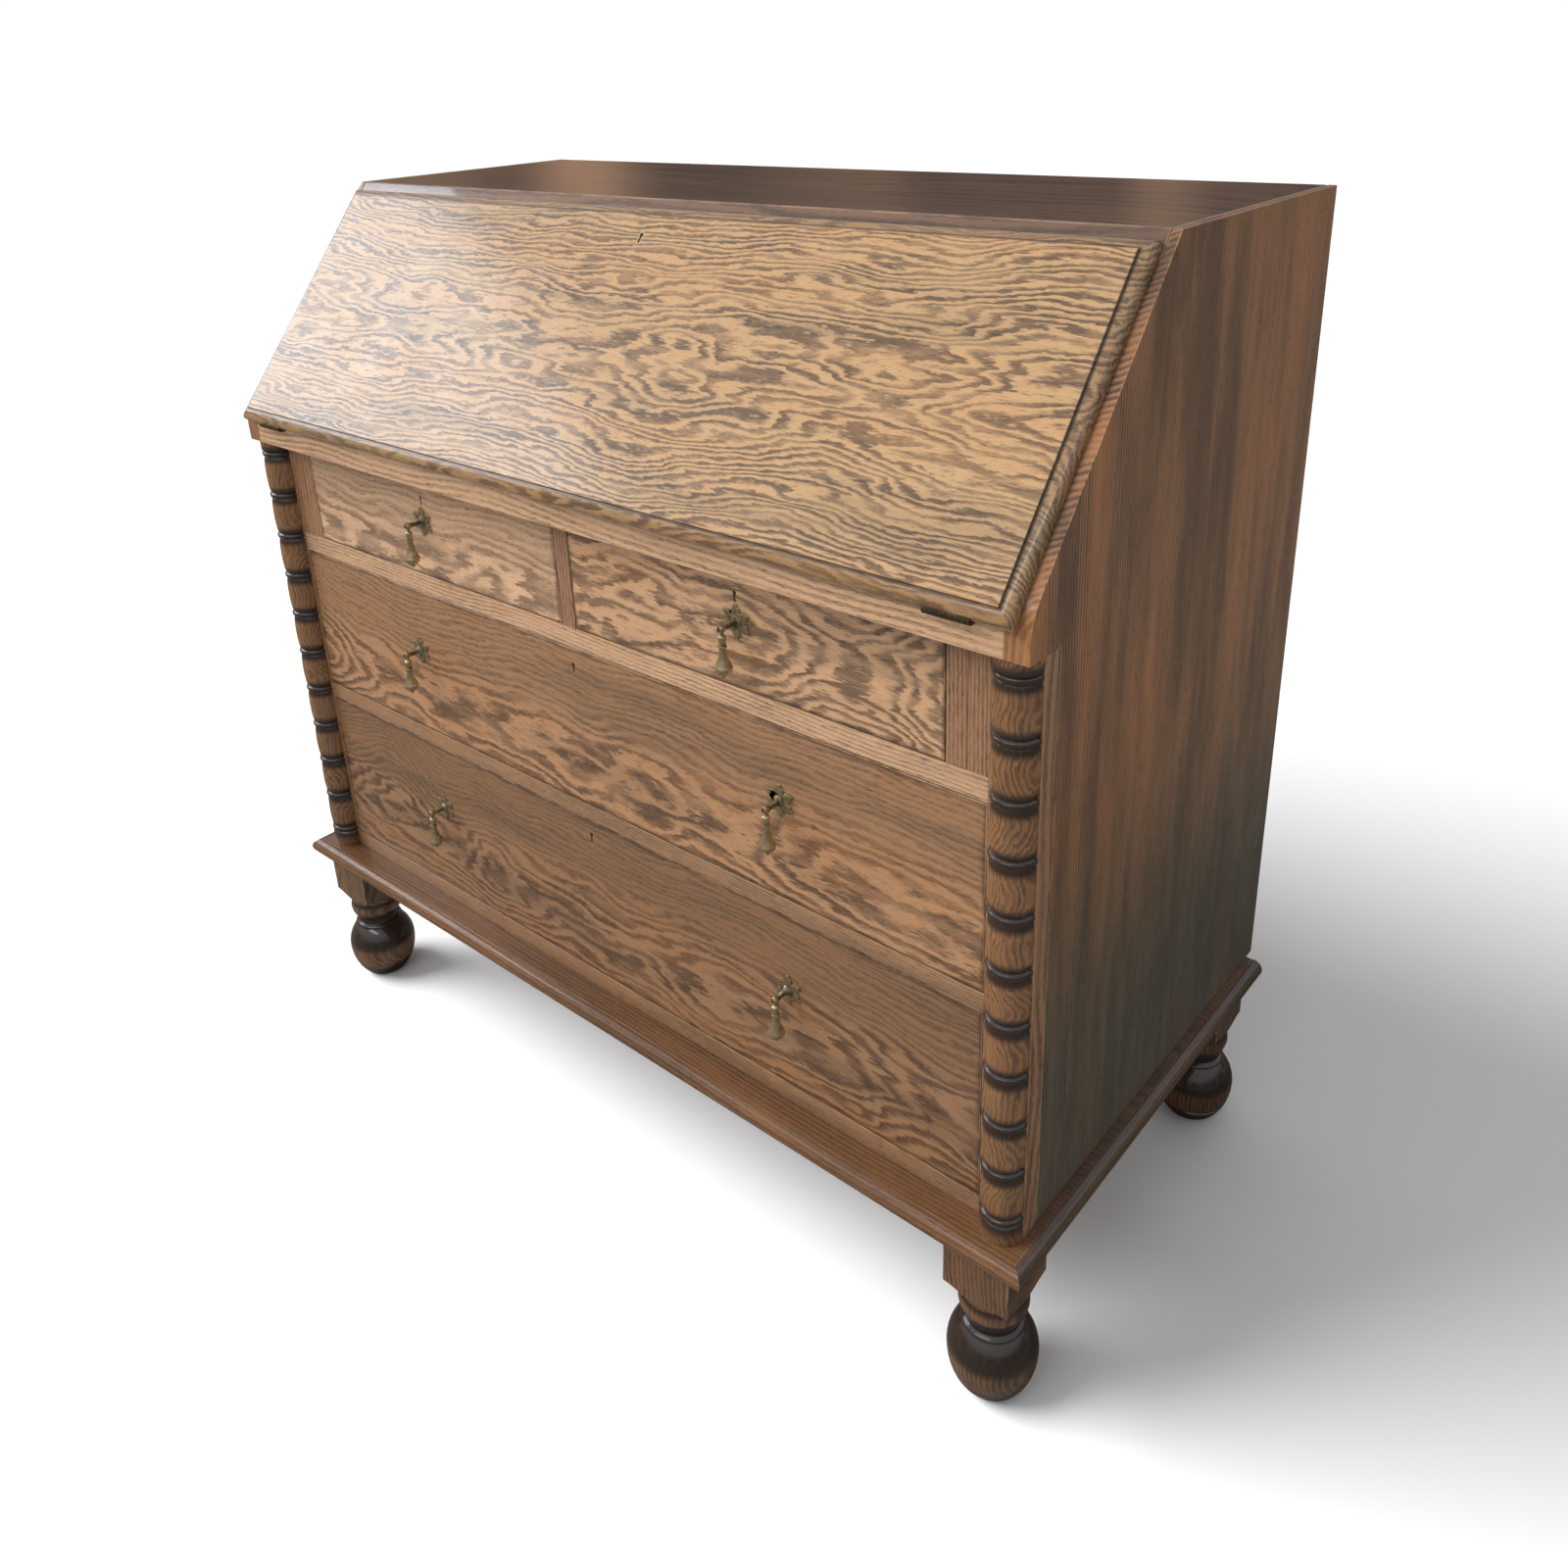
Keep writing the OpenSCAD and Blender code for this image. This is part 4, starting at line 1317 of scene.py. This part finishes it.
@dataclass
class Carcass:
    """The two side boards, the top, the back, the frieze, and the fitted inside."""

    side: Easing = Easing(0.9 * MM, shortest=6 * MM)
    top: Easing = Easing(1.6 * MM)
    frieze: Easing = Easing(0.5 * MM)
    inside: Easing = Easing(0.6 * MM)

    def build(self) -> None:
        """Eases the shown boards and dresses every board of the case."""
        for side in SIDES:
            ease_node(f"side_panel_{side}", f"side_board_{side}", self.side, "side_oak", "case_oak")
        ease_node("top_board", "top_board_eased", self.top, "top_oak", "top_oak")
        ease_node("frieze_rail", "frieze_rail_eased", self.frieze, "rail_oak", "case_oak")
        self.dress_inside()

    def dress_inside(self) -> None:
        """Dresses the boards that show when the fall or a drawer is open."""
        for node, finish in (
            ("writing_bed", "inner_oak"),
            ("pigeonhole_shelf", "inner_oak"),
            ("pigeonhole_dividers", "inner_upright_oak"),
        ):
            ease_node(node, f"{node}_eased", self.inside, finish, "bed_oak")
        dress_node("back_panel", "back_ply")
        for node in ("loper_guides", "dust_board_upper", "dust_board_middle", "drawer_runners"):
            dress_node(node, "board_pine")


@dataclass
class FrontFrame:
    """The stiles, rails and divider round the drawers, and the split turnings laid on the stiles."""

    easing: Easing = Easing(0.5 * MM)
    axis_x: float = 494.6 * MM
    axis_y: float = -223 * MM
    foot_z: float = 201 * MM
    head_z: float = 745 * MM
    full_r: float = 19.9 * MM
    neck_r: float = 17.8 * MM
    shoulder_drop: float = 7 * MM
    shoulder_low: float = 5.2 * MM
    shoulder_in: float = 0.8 * MM
    ring_count: int = 11
    ring_h: float = 6 * MM
    ring_gap: float = 0.9 * MM
    ring_fullness: float = 0.55
    ring_steps: int = 8
    barrel_gap: float = 0.8 * MM
    barrel_steps: int = 14
    crease_in: float = 0.5 * MM
    crease_h: float = 0.4 * MM
    head_gap: float = 2.2 * MM
    first_ring: float = 224.2 * MM
    last_ring: float = 728.4 * MM
    stain_and_shade_start: float = 2.5 * MM
    stain_and_shade_reach: float = 13 * MM
    sweep: float = 180.0
    round_steps: int = 28
    shade_angle: float = 40.0

    def build(self) -> None:
        """Builds the frame and both turnings."""
        for node, finish in (
            ("stile_left", "stile_oak"),
            ("stile_right", "stile_oak"),
            ("loper_stile_left", "stile_oak"),
            ("loper_stile_right", "stile_oak"),
            ("centre_divider", "stile_oak"),
            ("rail_upper", "rail_oak"),
            ("rail_middle", "low_rail_oak"),
            ("rail_bottom", "low_rail_oak"),
        ):
            ease_node(node, f"{node}_eased", self.easing, finish, "frame_oak")
        for sign, side in zip((-1, 1), SIDES):
            self.build_turning(sign, side)

    def pitch(self) -> float:
        """Gives the height from one ring's middle to the next."""
        return (self.last_ring - self.first_ring) / (self.ring_count - 1)

    def ring_z(self, index: int) -> float:
        """Gives the height of a ring's middle, counted from the bottom."""
        return self.first_ring + index * self.pitch()

    def profile(self) -> Profile:
        """Draws half the outline of a turning: a plinth, then a ring and a barrel by turns.

        Returns:
            Radius and height of each point, from the bottom up.
        """
        first, last = self.ring_z(0), self.ring_z(self.ring_count - 1)
        half_ring = self.ring_h / 2
        points: Profile = [
            (0.0, self.foot_z),
            (self.full_r, self.foot_z),
            (self.full_r, first - self.shoulder_drop),
            (self.full_r - self.shoulder_in, first - self.shoulder_low),
            (self.neck_r, first - half_ring - self.ring_gap),
        ]
        for index in range(self.ring_count):
            points += self.ring(self.ring_z(index))
            if index < self.ring_count - 1:
                low = self.ring_z(index) + half_ring + self.barrel_gap
                high = self.ring_z(index + 1) - half_ring - self.barrel_gap
                points += self.barrel(low, high)
        points += [
            (self.neck_r, last + half_ring + self.ring_gap),
            (self.full_r, last + half_ring + self.head_gap),
            (self.full_r, self.head_z),
            (0.0, self.head_z),
        ]
        return points

    def ring(self, middle: float) -> Profile:
        """Draws one narrow ring.

        Args:
            middle: the height of its middle.

        Returns:
            Its points, from the bottom up.
        """
        swell = self.full_r - self.neck_r
        shares = [step / self.ring_steps for step in range(self.ring_steps + 1)]
        return [
            (
                self.neck_r + swell * math.sin(math.pi * share) ** self.ring_fullness,
                middle + self.ring_h * (share - 0.5),
            )
            for share in shares
        ]

    def barrel(self, low: float, high: float) -> Profile:
        """Draws one barrel between two creases.

        Args:
            low: the height of its lower end.
            high: the height of its upper end.

        Returns:
            Its points, from the bottom up.
        """
        swell = self.full_r - self.neck_r
        crease_r = self.neck_r - self.crease_in
        shares = [step / self.barrel_steps for step in range(self.barrel_steps + 1)]
        return [
            (crease_r, low - self.crease_h),
            *(
                (self.neck_r + swell * math.sqrt(1 - (2 * share - 1) ** 2), low + (high - low) * share)
                for share in shares
            ),
            (crease_r, high + self.crease_h),
        ]

    def fullness(self, place: Vector) -> float:
        """Tells how full the turning is at a height: low on the rings, high on the barrels.

        Args:
            place: a point of the turning.

        Returns:
            The fullness, from 0 to 1.
        """
        # Near each ring the turning counts as less full, which gives it stain and painted shade.
        count = (place.z - self.first_ring) / self.pitch()
        off_ring = abs(count - round(count)) * self.pitch()
        return min(1.0, max(0.0, (off_ring - self.stain_and_shade_start) / self.stain_and_shade_reach))

    def build_turning(self, sign: int, side: str) -> None:
        """Builds one split turning.

        Args:
            sign: -1 on the left, 1 on the right.
            side: the side's name.
        """
        centre = (sign * self.axis_x, self.axis_y, 0.0)
        name = f"split_turning_{side}"
        piece = turned(name, self.profile(), centre, self.sweep, self.round_steps)
        mark_swell(piece, self.fullness)
        smooth(piece, self.shade_angle)
        stand_in(piece, f"column_{side}", "turned_oak", "turned_oak")


@dataclass
class Fall:
    """The slant front with its moulded edge, lock, escutcheon and hinge leaves."""

    easing: Easing = Easing(0.5 * MM, shade_angle=28.0)
    full_length: float = 900 * MM

    def build(self) -> None:
        """Builds the fall."""
        ease_node("fall_panel", "fall_board", self.easing, "fall_oak", "fall_oak", self.runs_across)
        for node in ("hinge_moving_leaves", "hinge_fixed_leaves"):
            smooth_node(node, f"{node}_smooth", "hinge_brass", "hinge_brass")
        dress_node("fall_lock", "lock_brass")
        dress_node("fall_escutcheon", "escutcheon_brass")

    def runs_across(self, start: Vector, end: Vector) -> bool:
        """Tells whether an edge runs the whole width of the fall."""
        return abs(start.x - end.x) > self.full_length


@dataclass
class Lopers:
    """The two slides that carry the open fall."""

    easing: Easing = Easing(0.8 * MM)

    def build(self) -> None:
        """Builds both slides."""
        for side in SIDES:
            ease_node(f"loper_{side}", f"fall_slide_{side}", self.easing, "stile_oak", "frame_oak")


@dataclass
class Drawer:
    """One drawer: front, box, lock and drop handles."""

    name: str
    plate: str
    drops: list[str]
    front: Easing = Easing(1.0 * MM, shortest=60 * MM)
    rose: Easing = Easing(0.7 * MM, shortest=0.0, segments=3, shade_angle=45.0)
    face_y: float = -222 * MM
    rose_face: float = -224.8 * MM

    def build(self) -> None:
        """Builds the drawer."""
        front = f"{self.name}_front"
        ease_node(front, f"{front}_eased", self.front, f"{self.name}_oak", "drawer_oak", self.on_face)
        dress_node(f"{self.name}_box", "drawer_pine")
        dress_node(f"{self.name}_lock", "lock_brass")
        rose = (self.rose, "handle_brass", "handle_brass")
        ease_node(self.plate, f"{self.plate}_cast", *rose, self.on_rose_rim)
        for node in self.drops:
            smooth_node(node, f"{node}_turned", "drop_brass", "handle_brass", self.rose.shade_angle)

    def on_face(self, start: Vector, end: Vector) -> bool:
        """Tells whether an edge reaches the shown face of the front."""
        return min(start.y, end.y) < self.face_y

    def on_rose_rim(self, start: Vector, end: Vector) -> bool:
        """Tells whether an edge is on the outer rim of a rose's face."""
        return all(abs(place.y - self.rose_face) < 2 * WELD for place in (start, end))


@dataclass
class Plinth:
    """The base board with its mitred nosings, the corner blocks and the bun feet."""

    joint: Easing = Easing(0.8 * MM, shade_angle=40.0)
    block: Easing = Easing(0.8 * MM, shortest=25 * MM)
    shelf_z: float = 201 * MM
    foot_x: float = 481.5 * MM
    front_y: float = -211.5 * MM
    back_y: float = 214 * MM
    bun_r: float = 41.7 * MM
    flat_r: float = 25 * MM
    bun_z: float = 43.7 * MM
    bun_rise: float = 41 * MM
    toe: tuple[float, float] = (1.2 * MM, 0.7 * MM)
    bun_low: tuple[float, ...] = (3, 6, 10, 14, 17.4, 18.3)
    bun_high: tuple[float, ...] = (21.7, 22.6, 26, 30, 34, 38, 42, 46, 50, 54, 58, 62, 66, 69, 71.5, 73.5)
    groove_z: float = 20 * MM
    groove_half: float = 0.8 * MM
    groove_in: float = 1.4 * MM
    groove_deep: float = 2.0 * MM
    bead: tuple[float, float, float, float] = (27.5 * MM, 2.0 * MM, 74.6 * MM, 5 * MM)
    cove: tuple[float, float, float, float] = (25.5 * MM, 3 * MM, 81 * MM, 11 * MM)
    cushion: tuple[float, float, float, float] = (29.5 * MM, 2.5 * MM, 93.5 * MM, 19 * MM)
    curve_steps: int = 8
    cushion_steps: int = 10
    neck_z: float = 113 * MM
    round_steps: int = 56
    block_fullness: float = 0.8
    least_fullness: float = 0.22
    cushion_fullness: float = 0.75
    belt: tuple[float, float] = (34 * MM, 13 * MM)
    collar: tuple[float, float] = (103 * MM, 6 * MM)

    def on_top(self, start: Vector, end: Vector) -> bool:
        """Tells whether an edge lies in the top of the base, where its boards meet."""
        return min(start.z, end.z) > self.shelf_z - 10 * WELD

    def build(self) -> None:
        """Builds the base and the feet."""
        for node, finish in (
            ("base_board", "base_oak"),
            ("nosing_front", "base_oak"),
            ("nosing_left", "base_end_oak"),
            ("nosing_right", "base_end_oak"),
        ):
            ease_node(node, f"{node}_eased", self.joint, finish, "base_oak", self.on_top)
        blocks = ease_node("foot_blocks", "foot_blocks_eased", self.block, "foot_oak", "foot_oak")
        mark_swell(blocks, lambda place: self.block_fullness)
        for end, y in (("front", self.front_y), ("back", self.back_y)):
            for sign, side in zip((-1, 1), SIDES):
                node = f"foot_{end}_{side}"
                centre = (sign * self.foot_x, y, 0.0)
                foot = turned(f"{node}_turned", self.profile(), centre, 360.0, self.round_steps)
                mark_swell(foot, self.fullness)
                smooth(foot, self.joint.shade_angle)
                stand_in(foot, node, "foot_oak", "foot_oak")

    def bun_radius(self, height: float) -> float:
        """Gives the bun's radius at a height.

        Args:
            height: the height above the floor.

        Returns:
            The radius.
        """
        fall = self.bun_z / math.sqrt(1 - (self.flat_r / self.bun_r) ** 2)
        half = fall if height < self.bun_z else self.bun_rise
        return self.bun_r * math.sqrt(1 - ((height - self.bun_z) / half) ** 2)

    def bulge(self, size: tuple[float, float, float, float], steps: int) -> Profile:
        """Draws a half-round bulge.

        Args:
            size: its least radius, how far it swells, its foot and its height.
            steps: the steps up it.

        Returns:
            Its points, from the bottom up.
        """
        radius, swell, low, height = size
        shares = [step / steps for step in range(steps + 1)]
        return [(radius + swell * math.sin(math.pi * share), low + height * share) for share in shares]

    def hollow(self, size: tuple[float, float, float, float], steps: int) -> Profile:
        """Draws a hollow that flares upwards.

        Args:
            size: its least radius, how far it flares, its foot and its height.
            steps: the steps up it.

        Returns:
            Its points, from the bottom up.
        """
        radius, flare, low, height = size
        shares = [step / steps for step in range(steps + 1)]
        turns = [1 - math.cos(math.pi / 2 * share) for share in shares]
        return [(radius + flare * turn, low + height * share) for share, turn in zip(shares, turns)]

    def profile(self) -> Profile:
        """Draws half the outline of a foot, from the middle of its underside to its shoulder.

        Returns:
            Radius and height of each point.
        """
        toe_in, toe_z = self.toe
        floor = self.bun_radius(self.groove_z)
        return [
            (0.0, 0.0),
            (self.flat_r - toe_in, 0.0),
            (self.flat_r, toe_z),
            *((self.bun_radius(height * MM), height * MM) for height in self.bun_low),
            (floor - self.groove_in, self.groove_z - self.groove_half),
            (floor - self.groove_deep, self.groove_z),
            (floor - self.groove_in, self.groove_z + self.groove_half),
            *((self.bun_radius(height * MM), height * MM) for height in self.bun_high),
            *self.bulge(self.bead, self.curve_steps),
            *self.hollow(self.cove, self.curve_steps),
            *self.bulge(self.cushion, self.cushion_steps),
            (self.cushion[0], self.neck_z),
            (0.0, self.neck_z),
        ]

    def fullness(self, place: Vector) -> float:
        """Tells how full a foot is, for its stain and painted shade: full on the belt under its middle, low
        in the groove and the neck.

        Args:
            place: a point of the foot.

        Returns:
            The fullness, from 0 to 1.
        """
        belt, collar = (
            math.exp(-(((place.z - middle) / reach) ** 2)) for middle, reach in (self.belt, self.collar)
        )
        return min(1.0, self.least_fullness + belt + self.cushion_fullness * collar)


@dataclass(frozen=True)
class SoftPanel:
    """One soft light: its width, height, power and place."""

    name: str
    width: float
    height: float
    strength: float
    place: Point


@dataclass
class Studio:
    """The pale floor, the soft lights and the camera."""

    floor_size: float = 60.0
    eye: Point = (0.9222, -0.9603, 1.1443)
    azimuth: float = 41.175
    elevation: float = 21.582
    roll: float = -2.304
    lens: float = 30.269
    sensor: float = 36.0
    shift_y: float = -0.1375
    nearest: float = 0.01
    white: Colour = (1.0, 1.0, 1.0)
    ambient: Colour = (0.43, 0.43, 0.43)
    room_dark: Colour = (0.055, 0.035, 0.025)
    room_warm: Colour = (0.42, 0.25, 0.15)
    ceiling: Colour = (0.62, 0.62, 0.66)
    sun_strength: float = 3.7
    sun_width: float = 36.0
    sun_from: Point = (-0.60, -0.45, 0.66)
    panel_tint: Colour = (0.84, 0.92, 1.0)
    panel_aim: Point = (-0.4, -0.15, 0.9)
    panels: tuple[SoftPanel, ...] = (
        SoftPanel("left_window", 1.5, 1.2, 19.0, (-2.5, -1.0, 1.9)),
        SoftPanel("front_strip", 2.2, 0.3, 12.0, (0.1, -2.3, 2.5)),
    )

    def build(self) -> None:
        """Builds the whole studio."""
        self.lay_floor()
        self.hang_world()
        self.hang_sun()
        for panel in self.panels:
            self.hang_panel(panel)
        self.set_camera()
        bpy.context.scene.view_settings.view_transform = "Standard"

    def lay_floor(self) -> None:
        """Lays one broad pale floor."""
        select_none()
        bpy.ops.mesh.primitive_plane_add(size=self.floor_size, location=(0.0, 0.0, 0.0))
        floor = bpy.context.object
        floor.name = "studio_floor"
        dress(floor, "studio_floor")

    def hang_world(self) -> None:
        """Makes a white surround whose reflection is a dim warm room under a pale ceiling."""
        world = bpy.data.worlds.new("studio_world")
        world.use_nodes = True
        bpy.context.scene.world = world
        graph = Graph(world.node_tree)
        backdrop = world.node_tree.nodes["Background"]
        x, y, up = graph.parts(graph.node("ShaderNodeTexCoord").outputs["Generated"])
        around = [graph.math("MULTIPLY", way, 5.0) for way in (x, y)]
        bands = graph.noise(graph.join(*around, 0.0), detail=1.0)
        room = graph.mix(graph.ramp(bands, low=0.45, high=0.62), self.room_dark, self.room_warm)
        room = graph.mix(graph.ramp(up, low=0.14, high=0.42), room, self.ceiling)
        path = graph.node("ShaderNodeLightPath")
        shade = graph.mix(path.outputs["Is Glossy Ray"], self.ambient, room)
        shade = graph.mix(path.outputs["Is Camera Ray"], shade, self.white)
        graph.feed(backdrop.inputs["Color"], shade)

    def hang_sun(self) -> None:
        """Hangs a broad soft sun that gives no highlight of its own."""
        sun = bpy.data.lights.new("soft_sun", "SUN")
        sun.energy = self.sun_strength
        sun.angle = math.radians(self.sun_width)
        holder = bpy.data.objects.new("soft_sun", sun)
        holder.visible_glossy = False
        holder.rotation_euler = Vector(self.sun_from).to_track_quat("Z", "Y").to_euler()
        bpy.context.scene.collection.objects.link(holder)

    def hang_panel(self, panel: SoftPanel) -> None:
        """Hangs one soft panel that looks at the desk and isn't seen itself.

        Args:
            panel: its sizes and place.
        """
        light = bpy.data.lights.new(panel.name, "AREA")
        light.shape = "RECTANGLE"
        light.size = panel.width
        light.size_y = panel.height
        light.energy = panel.strength
        light.color = self.panel_tint
        holder = bpy.data.objects.new(panel.name, light)
        holder.location = panel.place
        back = Vector(panel.place) - Vector(self.panel_aim)
        holder.rotation_euler = back.to_track_quat("Z", "Y").to_euler()
        holder.visible_camera = False
        bpy.context.scene.collection.objects.link(holder)

    def set_camera(self) -> None:
        """Places the camera."""
        camera = bpy.data.cameras.new("camera")
        camera.sensor_width = self.sensor
        camera.lens = self.lens
        camera.shift_y = self.shift_y
        camera.clip_start = self.nearest
        holder = bpy.data.objects.new("camera", camera)
        turn, tip, roll = (math.radians(angle) for angle in (self.azimuth, self.elevation, self.roll))
        ahead = Vector((-math.sin(turn) * math.cos(tip), math.cos(turn) * math.cos(tip), -math.sin(tip)))
        right = Vector((math.cos(turn), math.sin(turn), 0.0))
        up = right.cross(ahead)
        level = right * math.cos(roll) + up * math.sin(roll)
        rise = up * math.cos(roll) - right * math.sin(roll)
        axes = Matrix((level, rise, -ahead)).transposed()
        holder.matrix_world = Matrix.Translation(self.eye) @ axes.to_4x4()
        bpy.context.scene.collection.objects.link(holder)
        bpy.context.scene.camera = holder


def drawers() -> list[Drawer]:
    """Lists the four drawers.

    Returns:
        The two short drawers, then the two long ones.
    """
    short = [
        Drawer(f"short_{side}", f"short_{side}_handle_plate", [f"drop_short_{side}"]) for side in SIDES
    ]
    long = [
        Drawer(f"{row}_drawer", f"{row}_drawer_handle_plates", [f"drop_{row}_{side}" for side in SIDES])
        for row in ("upper", "lower")
    ]
    return short + long


def main() -> None:
    """Builds the desk and its studio."""
    logging.basicConfig(level=logging.INFO, format="%(name)s: %(message)s")
    for build_group in (
        build_oak_figure,
        build_stained_oak,
        build_bare_wood,
        build_edge_wear,
        build_edge_dust_and_shade,
        build_stain_and_shade_group,
        build_hand_polish,
        build_tarnish,
    ):
        build_group()
    for finish in FINISHES:
        finish.make()
    for assembly in (Carcass(), FrontFrame(), Fall(), Lopers(), *drawers(), Plinth(), Studio()):
        assembly.build()
        LOG.info("%s is built", type(assembly).__name__)


if __name__ == "__main__":
    main()
